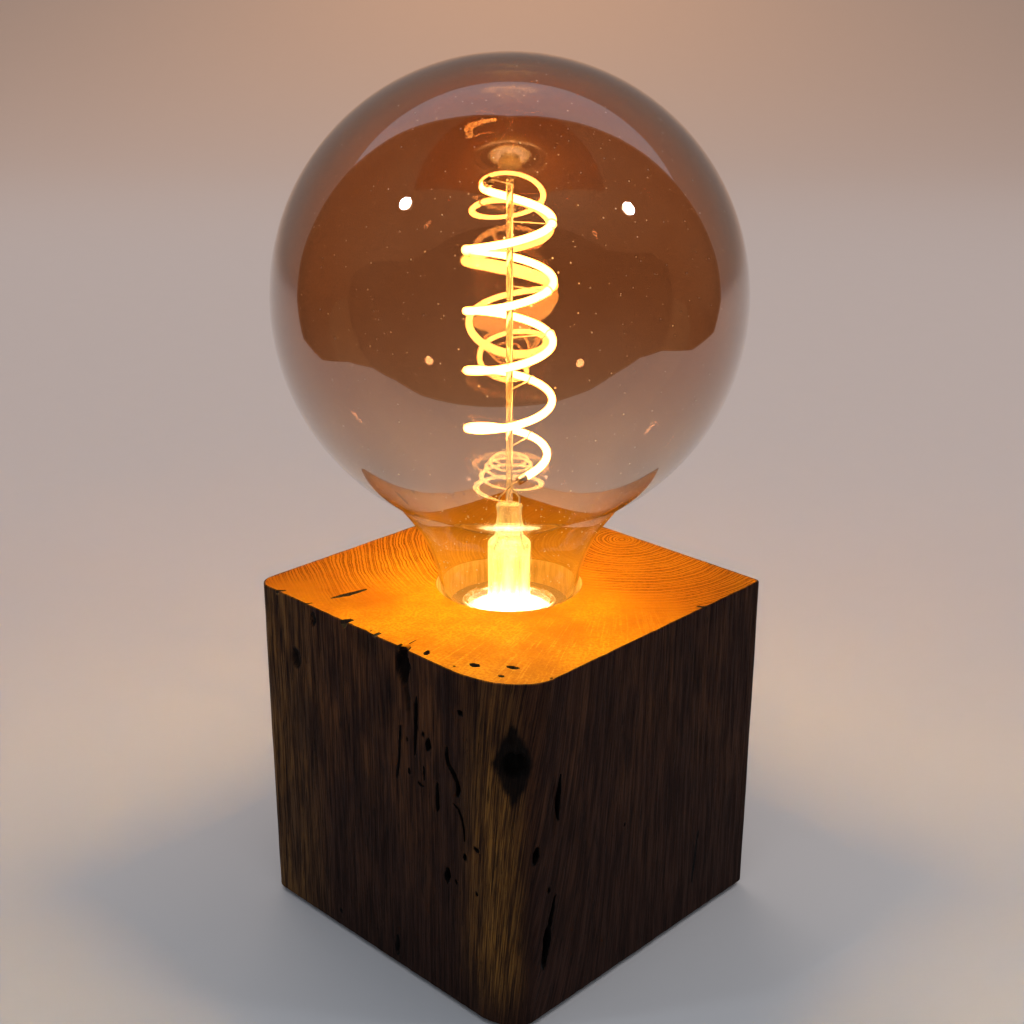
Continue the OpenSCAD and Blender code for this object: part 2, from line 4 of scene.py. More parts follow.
import bmesh
import bpy
import numpy as np
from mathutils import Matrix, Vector


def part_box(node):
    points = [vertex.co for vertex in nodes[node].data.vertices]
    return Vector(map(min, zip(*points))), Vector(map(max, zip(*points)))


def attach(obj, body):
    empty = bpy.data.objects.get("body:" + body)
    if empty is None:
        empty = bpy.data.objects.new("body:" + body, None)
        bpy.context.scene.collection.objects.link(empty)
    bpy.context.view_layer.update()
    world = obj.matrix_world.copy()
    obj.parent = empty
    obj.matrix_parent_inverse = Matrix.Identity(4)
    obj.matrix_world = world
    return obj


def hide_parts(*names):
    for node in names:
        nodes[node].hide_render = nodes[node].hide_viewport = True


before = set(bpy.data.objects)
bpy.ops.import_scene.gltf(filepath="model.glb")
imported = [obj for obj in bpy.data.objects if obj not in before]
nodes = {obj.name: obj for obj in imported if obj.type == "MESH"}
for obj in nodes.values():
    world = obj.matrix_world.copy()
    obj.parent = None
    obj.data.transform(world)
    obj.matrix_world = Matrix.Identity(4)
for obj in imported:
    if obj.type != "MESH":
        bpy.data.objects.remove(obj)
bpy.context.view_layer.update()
mm = 0.001

blockLow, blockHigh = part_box("wood_block")
globeLow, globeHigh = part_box("glass_globe")
topHeight = blockHigh.z
globeRadius = globeHigh.x
globeHeight = globeHigh.z - globeRadius


def linked(name, data):
    thing = bpy.data.objects.new(name, data)
    bpy.context.scene.collection.objects.link(thing)
    return thing


cameraSetup = {
    "place": (0.28055, -0.28640, 0.27498),
    "lens": 54.6,
    "azimuth": 44.3,  # degrees, 0 looks along +Y
    "pitch": -20.965,
    "roll": 0.153,
}


def makeCamera():
    setup = cameraSetup
    azimuth, pitch, roll = (radians(setup[k]) for k in ("azimuth", "pitch", "roll"))
    ahead = Vector((-sin(azimuth) * cos(pitch), cos(azimuth) * cos(pitch), sin(pitch)))
    level = Vector((cos(azimuth), sin(azimuth), 0))
    upright = level.cross(ahead)
    right = level * cos(roll) + upright * sin(roll)
    up = upright * cos(roll) - level * sin(roll)
    data = bpy.data.cameras.new("camera")
    data.sensor_width = 36
    data.lens = setup["lens"]
    data.clip_start = 0.01
    camera = linked("camera", data)
    matrix = camera.matrix_world.copy()
    for row in range(3):
        matrix[row][0], matrix[row][1], matrix[row][2] = right[row], up[row], -ahead[row]
        matrix[row][3] = setup["place"][row]
    camera.matrix_world = matrix
    bpy.context.scene.camera = camera


makeCamera()
bpy.context.scene.view_settings.view_transform = "Standard"
print("camera ready")


def meshPiece(name, points, faces, materials, smooth=True):
    data = bpy.data.meshes.new(name)
    data.from_pydata([tuple(p) for p in points], [], faces)
    data.validate()
    for m in materials:
        data.materials.append(m)
    if smooth:
        data.polygons.foreach_set("use_smooth", [True] * len(data.polygons))
    return linked(name, data)


# Smooth step of a share from 0 to 1; ease also clips the share
def smoothStep(u):
    return u * u * (3 - 2 * u)


def ease(u):
    return smoothStep(min(max(u, 0), 1))


# Points on an arc, angles in degrees
def arc(centreR, centreZ, radius, start, end, steps):
    turns = [radians(start + (end - start) * i / steps) for i in range(steps + 1)]
    return [(centreR + radius * cos(t), centreZ + radius * sin(t)) for t in turns]


# Quads between rings of equal count; closed joins the last ring to the first
def gridFaces(rings, count, closed=False):
    faces = []
    for k in range(rings if closed else rings - 1):
        low, high = k * count, ((k + 1) % rings) * count
        for i in range(count):
            j = (i + 1) % count
            faces.append((low + i, low + j, high + j, high + i))
    return faces


# Runs the mesh operations asked for, then turns the faces outward
def mend(piece, weld=False, dissolve=False, triangles=False):
    mesh = bmesh.new()
    mesh.from_mesh(piece.data)
    if weld:
        bmesh.ops.remove_doubles(mesh, verts=mesh.verts, dist=1e-7)
    if dissolve:
        bmesh.ops.dissolve_degenerate(mesh, edges=mesh.edges, dist=1e-7)
    if triangles:
        bmesh.ops.triangulate(mesh, faces=mesh.faces)
    bmesh.ops.recalc_face_normals(mesh, faces=mesh.faces)
    mesh.to_mesh(piece.data)
    mesh.free()
    return piece


# Turns a closed (r, z) outline about the bulb's axis; shape may change r by turn and height
def revolve(name, outline, steps, material, shape=None):
    turns = [2 * pi * i / steps for i in range(steps)]
    points = []
    for r, z in outline:
        for t in turns:
            rr = shape(r, z, t) if shape else r
            points.append((rr * cos(t), rr * sin(t), z))
    piece = meshPiece(name, points, gridFaces(len(outline), steps, closed=True), [material])
    return mend(piece, weld=True, dissolve=True)


# Round tube along a path, with flat ends
def sweep(name, path, radius, sides, material):
    path = [Vector(p) for p in path]
    ways = []
    for i in range(len(path)):
        ways.append((path[min(i + 1, len(path) - 1)] - path[max(i - 1, 0)]).normalized())
    side = Vector((0, 0, 1)) if abs(ways[0].z) < 0.9 else Vector((1, 0, 0))
    points = []
    for here, way in zip(path, ways):
        side = (side - side.dot(way) * way).normalized()
        up = way.cross(side)
        for i in range(sides):
            t = 2 * pi * i / sides
            points.append(here + radius * (side * cos(t) + up * sin(t)))
    faces = gridFaces(len(path), sides)
    last = (len(path) - 1) * sides
    faces.append(tuple(range(sides - 1, -1, -1)))
    faces.append(tuple(range(last, last + sides)))
    return meshPiece(name, points, faces, [material])


# An output of a node, so that sums with outputs and numbers can be written plainly
class nodeValue:
    def __init__(self, socket):
        self.socket = socket
        self.tree = socket.id_data

    def __add__(self, other):
        return calc("ADD", self, other)

    def __sub__(self, other):
        return calc("SUBTRACT", self, other)

    def __mul__(self, other):
        return calc("MULTIPLY", self, other)

    def __truediv__(self, other):
        return calc("DIVIDE", self, other)


# Links a value to an input, or sets the input to it
def feed(socket, value):
    if isinstance(value, nodeValue):
        value.tree.links.new(value.socket, socket)
    elif socket.type == "RGBA" and len(value) == 3:
        socket.default_value = (*value, 1)
    else:
        socket.default_value = value


# Names that match an input feed it, others set the node itself
def fill(node, **settings):
    for key, value in settings.items():
        name = key.replace("_", " ").lower()
        found = next((s for s in node.inputs if s.name.lower() == name), None)
        if found is None:
            setattr(node, key, value)
        else:
            feed(found, value)
    return node


def put(tree, kind, **settings):
    return fill(tree.nodes.new(kind), **settings)


def out(node, key=0):
    return nodeValue(node.outputs[key])


def calc(operation, *values):
    tree = next(v.tree for v in values if isinstance(v, nodeValue))
    node = put(tree, "ShaderNodeMath", operation=operation)
    for socket, value in zip(node.inputs, values):
        feed(socket, value)
    return out(node)


# Smooth step from one range to another
def remap(value, fromLow, fromHigh, toLow=0.0, toHigh=1.0):
    node = put(value.tree, "ShaderNodeMapRange", interpolation_type="SMOOTHSTEP", Value=value,
               From_Min=fromLow, From_Max=fromHigh, To_Min=toLow, To_Max=toHigh)
    return out(node, "Result")


def blendColour(factor, a, b, how="MIX"):
    tree = next(v.tree for v in (factor, a, b) if isinstance(v, nodeValue))
    node = put(tree, "ShaderNodeMix", data_type="RGBA", blend_type=how)
    for index, value in ((0, factor), (6, a), (7, b)):  # the inputs that mix colours
        feed(node.inputs[index], value)
    return out(node, 2)


def noiseOf(place, scale, detail=2.0, rough=0.5, distortion=0.0):
    return out(put(place.tree, "ShaderNodeTexNoise", Vector=place, Scale=scale, Detail=detail,
                   Roughness=rough, Distortion=distortion))


def bumpOf(height, distance, strength=1.0):
    return out(put(height.tree, "ShaderNodeBump", Height=height, Distance=distance, Strength=strength), "Normal")


def parts(place):
    split = put(place.tree, "ShaderNodeSeparateXYZ", Vector=place)
    return [nodeValue(s) for s in split.outputs]


def combine(x, y, z=0.0):
    return out(put(x.tree, "ShaderNodeCombineXYZ", X=x, Y=y, Z=z))


def objectPlace(tree):
    return out(put(tree, "ShaderNodeTexCoord"), "Object")


# Material, its main shader and the place on the piece
def newMaterial(name, **settings):
    made = bpy.data.materials.new(name)
    made.use_nodes = True
    shader = fill(made.node_tree.nodes["Principled BSDF"], **settings)
    return made, shader, objectPlace(made.node_tree)


# Node group, its inputs and its output node; an input's default is a number or a vector
def newGroup(name, inputs, outputs):
    group = bpy.data.node_groups.new(name, "ShaderNodeTree")
    for key, value in inputs.items():
        kind = "NodeSocketVector" if isinstance(value, tuple) else "NodeSocketFloat"
        group.interface.new_socket(key, in_out="INPUT", socket_type=kind).default_value = value
    for key in outputs:
        group.interface.new_socket(key, in_out="OUTPUT", socket_type="NodeSocketFloat")
    entry = group.nodes.new("NodeGroupInput")
    return group, {key: out(entry, key) for key in inputs}, group.nodes.new("NodeGroupOutput")


def placeGroup(tree, group, **settings):
    node = tree.nodes.new("ShaderNodeGroup")
    node.node_tree = group
    fill(node, **settings)
    return {s.name: nodeValue(s) for s in node.outputs}


# Wood fibres: soft streaks, thin dark lines and open pores, all drawn out along Z by the stretch
def makeFibreGrain():
    group, given, results = newGroup(
        "fibreGrain", {"Place": (0, 0, 0), "Width": 1 * mm, "Stretch": 0.02}, ("Streaks", "Lines", "Pores"))
    x, y, z = parts(given["Place"])
    drawn = z * given["Stretch"]
    fibre, short = combine(x, y, drawn), combine(x, y, drawn * 4)
    scale = calc("DIVIDE", 1.0, given["Width"])
    for key, place, share, edge in (("Streaks", fibre, 1.0, None), ("Lines", fibre, 2.3, (0.42, 0.35)),
                                    ("Pores", short, 3.6, (0.60, 0.70))):
        noise = noiseOf(place, scale * share, 3.0, 0.6)
        feed(results.inputs[key], remap(noise, *edge) if edge else noise)
    return group


# Light wear: cloudy smudges, fine scuffs and a height for both
def makeHandling():
    group, given, results = newGroup(
        "handling", {"Cloud Size": 9 * mm, "Scuff Size": 1.2 * mm}, ("Clouds", "Scuffs", "Height"))
    place = objectPlace(group)
    clouds = noiseOf(place, calc("DIVIDE", 1.0, given["Cloud Size"]), 4.0, 0.6)
    scuffs = noiseOf(place, calc("DIVIDE", 1.0, given["Scuff Size"]), 3.0, 0.7, 1.2)
    fill(results, Clouds=remap(clouds, 0.35, 0.68), Scuffs=remap(scuffs, 0.50, 0.72), Height=clouds + scuffs * 0.4)
    return group


fibreGrain = makeFibreGrain()
handling = makeHandling()


# Plain material with smudges and scuffs from the shared group
def wornMaterial(name, colour, worn, rough, roughWorn, depth=0.02, cloud=9, scuff=1.2, **settings):
    made, shader, place = newMaterial(name, **settings)
    wear = placeGroup(place.tree, handling, Cloud_Size=cloud * mm, Scuff_Size=scuff * mm)
    fill(shader, Base_Color=blendColour(wear["Clouds"], colour, worn),
         Roughness=remap(wear["Scuffs"], 0, 1, rough, roughWorn), Normal=bumpOf(wear["Height"], depth * mm))
    return made


oakColours = {
    # top colours: oak tinted strongly orange, partly the oak's own colour and partly painted warm light from the
    # strand
    "topPale": (0.345, 0.160, 0.0050),
    "topMid": (0.200, 0.062, 0.0020),
    "topRing": (0.038, 0.0065, 0.0007),
    "topRay": (0.400, 0.200, 0.0120),
    # side colours: dark stained old oak, made darker still as painted shade of sides the strand doesn't light
    "sideDark": (0.0125, 0.0050, 0.0034),
    "sideMid": (0.033, 0.0112, 0.0060),
    "sidePale": (0.104, 0.036, 0.0100),
    "gold": (0.215, 0.092, 0.0165),
    "edgeGold": (0.150, 0.066, 0.0160),
    "crackDark": (0.0030, 0.0018, 0.0014),
    "dust": (0.003, 0.002, 0.0018),  # in worm holes and cracks: dark dust, made near black as painted shade of their depth
    "torn": (0.024, 0.011, 0.005),
    "freshMid": (0.42, 0.21, 0.060),  # where the lamp's maker bored and sawed
    "freshPale": (0.60, 0.34, 0.105),
    "freshPore": (0.16, 0.07, 0.020),
}
ringShape = {
    "pith": (2.4 * mm, 45.9 * mm),  # where the rings are centred on the top
    "width": 1.0 * mm,
    "wander": 6 * mm,
}


# End grain: rings about the pith, rays across them, fine pores
def makeTopOak():
    c, s = oakColours, ringShape
    made, shader, place = newMaterial("topOak", IOR=1.08)
    x, y = parts(place)[:2]
    dx, dy = x - s["pith"][0], y - s["pith"][1]
    wander = noiseOf(place, 34) - 0.5
    reach = calc("SQRT", dx * dx + dy * dy) + wander * s["wander"]
    fine = noiseOf(place, 620) - 0.5
    lines = []
    for share, seed in ((1.0, 0.0), (1.73, 0.37)):  # wide rings with narrower ones between them
        part = calc("FRACT", reach / (s["width"] * share) + fine * 0.45 + seed)
        lines.append(remap(part, 0, 0.14) * remap(part, 0.18, 0.46, 1, 0))
    towards = (x - y) * 0.5  # up to 50 mm at the waney corner
    loose = wander * (30 * mm)
    leftPart = remap(towards + loose, -8 * mm, 8 * mm, 1, 0.08)
    rightPart = remap(y + loose, 8 * mm, 27 * mm, 0.08, 1)
    mood = remap(noiseOf(place, 90), 0.36, 0.60, 0.75, 1)
    rings = calc("MAXIMUM", lines[0], lines[1] * 0.8) * mood
    rings = rings * calc("MAXIMUM", leftPart, rightPart)  # the front is nearly plain
    colour = blendColour(remap(noiseOf(place, 42, 3, 0.55), 0.25, 0.72), c["topMid"], c["topPale"])
    colour = blendColour(remap(y, -20 * mm, 32 * mm, 0, 0.75), colour, c["topMid"])
    colour = blendColour(remap(x, -12 * mm, -46 * mm, 0, 0.7), colour, c["topMid"])
    rayPlace = combine(calc("ARCTAN2", dy, dx) * 110, reach * 60)
    rays = remap(noiseOf(rayPlace, 1.0, 3, 0.6), 0.52, 0.66) * remap(towards, 8 * mm, 32 * mm, 0.0, 0.55)
    grain = placeGroup(place.tree, fibreGrain, Place=place, Width=0.8 * mm, Stretch=1.0)
    speckle = grain["Pores"] * 0.50
    for share, tint in ((rays, "topRay"), (rings * 0.97, "topRing"),
                        (remap(grain["Streaks"], 0.40, 0.62, 0, 0.5), "topMid"), (speckle, "topRing")):
        colour = blendColour(share, colour, c[tint])
    fill(shader, Base_Color=colour, Roughness=remap(rings, 0, 1, 0.55, 0.75),
         Normal=bumpOf(rays * 0.25 - (rings + speckle), 0.07 * mm))
    return made


# Long grain of the sides, laid out along the attribute "unrolled", darkened by the attribute "worn"
def makeSideOak():
    c = oakColours
    made, shader, place = newMaterial("sideOak", IOR=1.18)
    tree = place.tree
    unrolled = out(put(tree, "ShaderNodeAttribute", attribute_name="unrolled"), "Vector")
    fine, broad, wide = (placeGroup(tree, fibreGrain, Place=unrolled, Width=width * mm, Stretch=stretch)
                         for width, stretch in ((0.34, 0.022), (1.3, 0.055), (12.0, 0.40)))
    x, y, z = parts(place)
    tone = fine["Streaks"] * 0.5 + broad["Streaks"] * 0.5
    bands = remap(wide["Streaks"], 0.36, 0.64)
    # pale streaks grow with height and are fewer on the face at +X
    paleStreakShare = remap(z, 4 * mm, 88 * mm, 0.06, 1) * remap(x, 28 * mm, 50 * mm, 1, 0.36)  # less on the face at +X
    turn = calc("ARCTAN2", y, x)
    onCorner = (remap(turn, radians(-60), radians(-48))
                * remap(turn, radians(-47), radians(-40), 1, 0))
    inHeight = remap(z, 2 * mm, 20 * mm, 0.1, 1) * remap(z, 62 * mm, 98 * mm, 1, 0.35)
    thread = remap(fine["Streaks"], 0.40, 0.62, 0.20, 1) * remap(broad["Streaks"], 0.38, 0.58, 0.22, 1)
    leftEdge = remap(x, -18 * mm, -44 * mm) * remap(y, -34 * mm, -46 * mm)
    leftEdge = leftEdge * (remap(tone, 0.38, 0.62) * remap(bands, 0, 1, 0.4, 0.95))
    lines, pores = broad["Lines"] * 0.6, broad["Pores"] * 0.5
    worn = out(put(tree, "ShaderNodeAttribute", attribute_name="worn"), "Fac")
    colour = blendColour(remap(tone, 0.35, 0.65), c["sideDark"], c["sideMid"])
    for share, tint in ((remap(tone, 0.36, 0.64) * (paleStreakShare * bands), "sidePale"),
                        (onCorner * inHeight * thread, "gold"), (leftEdge, "edgeGold"),
                        (lines, "crackDark"), (pores, "crackDark"), (worn, "crackDark")):
        colour = blendColour(share, colour, c[tint])
    fill(shader, Base_Color=colour, Roughness=remap(tone, 0.4, 0.62, 0.80, 0.58),
         Normal=bumpOf(tone - (lines + pores) * 0.5, 0.30 * mm))
    return made


# Inside of worm holes and cracks: dark dust on torn fibres, with painted shade of the deep holes
def makeBurrow():
    made, shader, place = newMaterial("burrow", Roughness=0.9)
    grain = placeGroup(place.tree, fibreGrain, Place=place, Width=0.7 * mm, Stretch=0.15)["Streaks"]
    fill(shader, Base_Color=blendColour(remap(grain, 0.45, 0.72), oakColours["dust"], oakColours["torn"]),
         Normal=bumpOf(grain, 0.2 * mm))
    return made


# Wood that was sawn or bored when the lamp was made: pale, not yet darkened
def makeFreshOak():
    c = oakColours
    made, shader, place = newMaterial("freshOak", Roughness=0.7, IOR=1.2)
    grain = placeGroup(place.tree, fibreGrain, Place=place, Width=1.1 * mm, Stretch=0.10)
    colour = blendColour(remap(grain["Streaks"], 0.38, 0.62), c["freshMid"], c["freshPale"])
    fill(shader, Base_Color=blendColour(grain["Pores"] * 0.4, colour, c["freshPore"]),
         Normal=bumpOf(grain["Streaks"], 0.10 * mm))
    return made


# Ends a material in its shader and clear, mixed by the share that passes
def mixWithClear(made, shader, share, tint):
    tree = made.node_tree
    clear = put(tree, "ShaderNodeBsdfTransparent", Color=tint)
    pick = put(tree, "ShaderNodeMixShader")
    feed(pick.inputs[0], share)
    feed(pick.inputs[1], out(shader))
    feed(pick.inputs[2], out(clear))
    feed(tree.nodes["Material Output"].inputs["Surface"], out(pick))
    return made


# The strand's light passes the glass on its way to the wood, tinted
def letLightThrough(made, shader, tint):
    path = put(made.node_tree, "ShaderNodeLightPath")
    passing = calc("MAXIMUM", out(path, "Is Shadow Ray"), out(path, "Is Diffuse Ray"))
    return mixWithClear(made, shader, passing, tint)


glassLook = {
    "smoke": (0.74, 0.43, 0.235),  # through one wall of the globe
    "edgeSmoke": (0.43, 0.34, 0.29),  # where the wall is seen nearly along itself
    "neckTint": (1.0, 0.97, 0.88),  # the coat fades out towards the neck
    "fadeFrom": 106 * mm,
    "fadeTo": 176 * mm,
    "paintedNeckGlow": (0.125, 0.042, 0.0020),  # glow painted into the neck, standing in for strand light that the neck and its dust scatter
    "paintedGlowTo": (134 * mm, 110 * mm),  # heights where it starts and is full
    "lightTint": (0.90, 0.80, 0.66),
    "neckLight": (0.98, 0.95, 0.86),
    "ior": 1.5,
    "coatIor": 2.0,  # the smoke is a vapour coat, which mirrors a little
}


def makeSmokedGlass():
    look = glassLook
    made, shader, place = newMaterial("smokedGlass", IOR=look["ior"], Transmission_Weight=1.0, Coat_Roughness=0.0,
                                      Coat_IOR=look["coatIor"], Emission_Strength=1.0)
    z = parts(place)[2]
    coat = remap(z, look["fadeFrom"], look["fadeTo"]) * remap(noiseOf(place, 30, 3), 0.35, 0.65, 0.93, 1)
    facing = out(put(place.tree, "ShaderNodeLayerWeight", Blend=0.5), "Facing")
    smoke = blendColour(remap(facing, 0.40, 0.80), look["smoke"], look["edgeSmoke"])
    start, full = look["paintedGlowTo"]
    # painted glow in the neck, full low down and fading out higher up
    paintedNeckGlow = remap(z, full, start, 1, 0) * remap(noiseOf(place, 60, 3), 0.3, 0.7, 0.7, 1.3)
    dust = out(put(place.tree, "ShaderNodeTexVoronoi", Vector=place, Scale=430.0, Randomness=1.0), "Distance")
    speck = remap(dust, 0.05, 0.13, 1, 0) * remap(noiseOf(place, 900, 1), 0.53, 0.58)
    fill(shader, Base_Color=blendColour(coat, look["neckTint"], smoke), Coat_Weight=coat,
         Emission_Color=blendColour(paintedNeckGlow, (0.0, 0.0, 0.0), look["paintedNeckGlow"]),
         Roughness=remap(speck, 0, 1, 0.0, 0.6), Normal=bumpOf(noiseOf(place, 26, 1), 0.25 * mm, 0.25))
    return letLightThrough(made, shader, blendColour(coat, look["neckLight"], look["lightTint"]))


stemLook = {
    "clear": (1.0, 0.96, 0.86),
    "drawn": (0.95, 0.86, 0.68),
    "lightTint": (0.96, 0.94, 0.88),
    "paintedColumnGlow": (1.0, 0.76, 0.17),  # glow painted into the stem, standing in for strand light that the glass gathers
    "paintedFootGlow": (1.0, 0.93, 0.70),
    "paintedFootStrength": 1.5,
    "paintedColumnStrength": 0.75,
}


def makeStemGlass():
    look, low = stemLook, globeLow.z
    made, shader, place = newMaterial("stemGlass", IOR=1.5, Transmission_Weight=0.78, Emission_Strength=1.0)
    x, y, z = parts(place)
    flow = noiseOf(combine(x, y, z * 0.12), 420, 3, 0.5, 0.4)  # the glass is drawn out along the stem
    outward = calc("SQRT", x * x + y * y)
    # painted glow: brightest in the foot, streaky up the column
    inFoot = remap(z, low + 9 * mm, low + 1.5 * mm) * remap(outward, 7 * mm, 12.5 * mm, 1, 0.4)
    column = remap(z, low + 34 * mm, low + 20 * mm, 0.1, 1) * remap(flow, 0.38, 0.64, 0.3, 1.4)
    glow = put(place.tree, "ShaderNodeVectorMath", operation="SCALE",
               Vector=blendColour(inFoot, look["paintedColumnGlow"], look["paintedFootGlow"]),
               Scale=inFoot * look["paintedFootStrength"] + column * look["paintedColumnStrength"])
    fill(shader, Base_Color=blendColour(flow, look["clear"], look["drawn"]), Emission_Color=out(glow),
         Roughness=remap(flow, 0.4, 0.7, 0.02, 0.14), Normal=bumpOf(flow, 0.4 * mm, 0.5))
    return letLightThrough(made, shader, look["lightTint"])


strandLook = {
    "coat": (0.9, 0.55, 0.12),
    "coatDark": (0.8, 0.42, 0.06),
    "core": (1.0, 0.66, 0.24),
    "rim": (1.0, 0.60, 0.14),
    "coreStrength": 200.0,
    "rimStrength": 90.0,
}


# Coated strand: white hot along the middle, orange where the coat is seen edge on
def makeGlow():
    look = strandLook
    made, shader, place = newMaterial("strandGlow", Roughness=0.5)
    coat = noiseOf(place, 700)
    edge = remap(out(put(place.tree, "ShaderNodeLayerWeight", Blend=0.5), "Facing"), 0.45, 0.95)
    strength = remap(edge, 0, 1, look["coreStrength"], look["rimStrength"])
    fill(shader, Base_Color=blendColour(coat, look["coat"], look["coatDark"]),
         Emission_Color=blendColour(edge, look["core"], look["rim"]),
         Emission_Strength=strength * remap(coat, 0.3, 0.7, 0.9, 1.1))
    return made


boardLook = {"lacquer": (0.01, 0.09, 0.03), "track": (0.03, 0.20, 0.08), "grime": (0.005, 0.02, 0.01)}


def makeBoard():
    look = boardLook
    made, shader, place = newMaterial("circuitBoard", Roughness=0.45)
    tracks = out(put(place.tree, "ShaderNodeTexBrick", Vector=place, Scale=260.0), "Fac")
    colour = blendColour(remap(tracks, 0, 1, 0, 0.7), look["lacquer"], look["track"])
    fill(shader, Base_Color=blendColour(noiseOf(place, 800) * 0.3, colour, look["grime"]))
    return made


feltLook = {"dark": (0.012, 0.011, 0.011), "pale": (0.075, 0.070, 0.066)}


def makeFelt():
    made, shader, place = newMaterial("felt", Roughness=1.0, Sheen_Weight=0.4)
    hair = noiseOf(place, 2600, 4, 0.75, 1.5)
    fill(shader, Base_Color=blendColour(hair, feltLook["dark"], feltLook["pale"]), Normal=bumpOf(hair, 0.4 * mm))
    return made


topOak = makeTopOak()
sideOak = makeSideOak()
burrow = makeBurrow()
freshOak = makeFreshOak()
smokedGlass = makeSmokedGlass()
stemGlass = makeStemGlass()
strandGlow = makeGlow()
felt = makeFelt()
circuitBoard = makeBoard()
# Colour, worn colour, roughness and worn roughness; depth and sizes of the wear are in mm
blackPlastic = wornMaterial("blackPlastic", (0.012, 0.012, 0.013), (0.022, 0.021, 0.020), 0.32, 0.55)
basePlastic = wornMaterial("basePlastic", (0.016, 0.015, 0.015), (0.030, 0.028, 0.026), 0.5, 0.68, 0.08, scuff=0.6)
zinc = wornMaterial("zincSteel", (0.62, 0.62, 0.60), (0.47, 0.47, 0.45), 0.28, 0.50, Metallic=1.0, cloud=2)
nickel = wornMaterial("capNickel", (0.78, 0.75, 0.69), (0.60, 0.56, 0.50), 0.20, 0.42, Metallic=1.0, cloud=3)
brass = wornMaterial("contactBrass", (0.80, 0.56, 0.24), (0.55, 0.36, 0.14), 0.24, 0.46, Metallic=1.0, cloud=3)
solder = wornMaterial("solder", (0.66, 0.66, 0.67), (0.42, 0.42, 0.43), 0.30, 0.55, 0.1, Metallic=1.0, cloud=1.5)
steatite = wornMaterial("steatite", (0.74, 0.71, 0.64), (0.60, 0.56, 0.49), 0.45, 0.62, cloud=5)
vitrite = wornMaterial("capInsulation", (0.010, 0.010, 0.014), (0.022, 0.020, 0.024), 0.12, 0.30, 0.1)
canBlue = wornMaterial("capacitorCan", (0.02, 0.03, 0.12), (0.04, 0.05, 0.16), 0.30, 0.45, cloud=2)
wire = wornMaterial("wire", (0.70, 0.66, 0.60), (0.50, 0.45, 0.38), 0.30, 0.50, 0.01, Metallic=1.0, cloud=1)
print("materials ready")


blockShape = {
    "columns": 720,
    "levels": 176,
    "frontRun": 21 * mm,  # waney front corner, along the front face
    "sideRun": 14 * mm,  # and along the side face
    "wander": 1.8 * mm,
    "wave": 74 * mm,
    "footShare": 0.6,  # of the waney corner's size is left at the foot
    "leftCorner": 5 * mm,
    "backCorner": 1.5 * mm,
    "ease": 0.4 * mm,
    "bore": 20.45 * mm,
    "tubeHole": 5.3 * mm,
    "inlet": 4.7 * mm,
    "recess": 24 * mm,
    "cover": 34.3 * mm,
    "coverStep": 2 * mm,
    "recessTop": 20 * mm,
    "grooves": 0.16 * mm,
    "hollows": 0.10 * mm,
    "dips": 0.05 * mm,  # in the top
    "fineDips": 0.03 * mm,
    "footRise": 1.5 * mm,
}
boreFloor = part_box("holder_cap")[0].z


# Smooth noise from -1 to 1 on a lattice, the same each run
def valueNoise(u, v, seed):
    iu, iv = np.floor(u).astype(np.int64), np.floor(v).astype(np.int64)
    fu, fv = smoothStep(u - iu), smoothStep(v - iv)

    def corner(a, b):
        h = (a * 374761393 + b * 668265263 + seed * 1442695041) & 0xFFFFFFFF
        h = ((h ^ (h >> 13)) * 1274126177) & 0xFFFFFFFF
        return ((h ^ (h >> 16)) & 0xFFFF) / 32767.5 - 1
    low = corner(iu, iv) * (1 - fu) + corner(iu + 1, iv) * fu
    high = corner(iu, iv + 1) * (1 - fu) + corner(iu + 1, iv + 1) * fu
    return low * (1 - fv) + high * fv


# Noise over a face, with the sizes of its cells in mm
def noiseAt(u, v, wide, tall, seed, warp=0):
    return valueNoise(u / (wide * mm) + warp, v / (tall * mm), seed)


# Distance from the axis to the block's outline at one height, for an array of directions
def blockRadius(turns, z, inset):
    s = blockShape
    halfX, halfY = blockHigh.x - inset, (blockHigh.y - blockLow.y) / 2 - inset
    c, n = np.cos(turns), np.sin(turns)
    reach = np.minimum(halfX / np.maximum(np.abs(c), 1e-9), halfY / np.maximum(np.abs(n), 1e-9))
    rise = z - s["footRise"]
    wander = s["wander"] * sin(2 * pi * rise / s["wave"])
    share = s["footShare"] + (1 - s["footShare"]) * rise / (topHeight - s["footRise"])
    for sx, sy, alongX, alongY in ((1, -1, (s["frontRun"] + wander) * share, (s["sideRun"] + wander / 2) * share),
                                   (1, 1, s["backCorner"], s["backCorner"]),
                                   (-1, 1, s["backCorner"], s["backCorner"]),
                                   (-1, -1, s["leftCorner"], s["leftCorner"])):
        cx, cy = sx * (halfX - alongX), sy * (halfY - alongY)
        a = (c / alongX) ** 2 + (n / alongY) ** 2
        b = c * cx / alongX ** 2 + n * cy / alongY ** 2
        k = (cx / alongX) ** 2 + (cy / alongY) ** 2 - 1
        root = (b + np.sqrt(np.maximum(b * b - a * k, 0))) / a
        beyond = (c * reach * sx > cx * sx) & (n * reach * sy > cy * sy)
        reach = np.where(beyond, np.minimum(reach, root), reach)
    return reach


# Directions whose points lie evenly along the outline, and their place along it
def evenTurns(count):
    fine = np.linspace(-pi, pi, 14401)
    reach = blockRadius(fine, blockHigh.z - 40 * mm, 0)
    steps = np.hypot(np.diff(reach * np.cos(fine)), np.diff(reach * np.sin(fine)))
    run = np.concatenate([[0], np.cumsum(steps)])
    return np.interp(np.arange(count) * run[-1] / count, run, fine), fine, run


columnTurns, fineTurns, fineRun = evenTurns(blockShape["columns"])
columnRun = np.interp(columnTurns, fineTurns, fineRun)


# Place along the outline of a direction in degrees
def runAt(turn):
    return float(np.interp(radians(turn), fineTurns, fineRun))


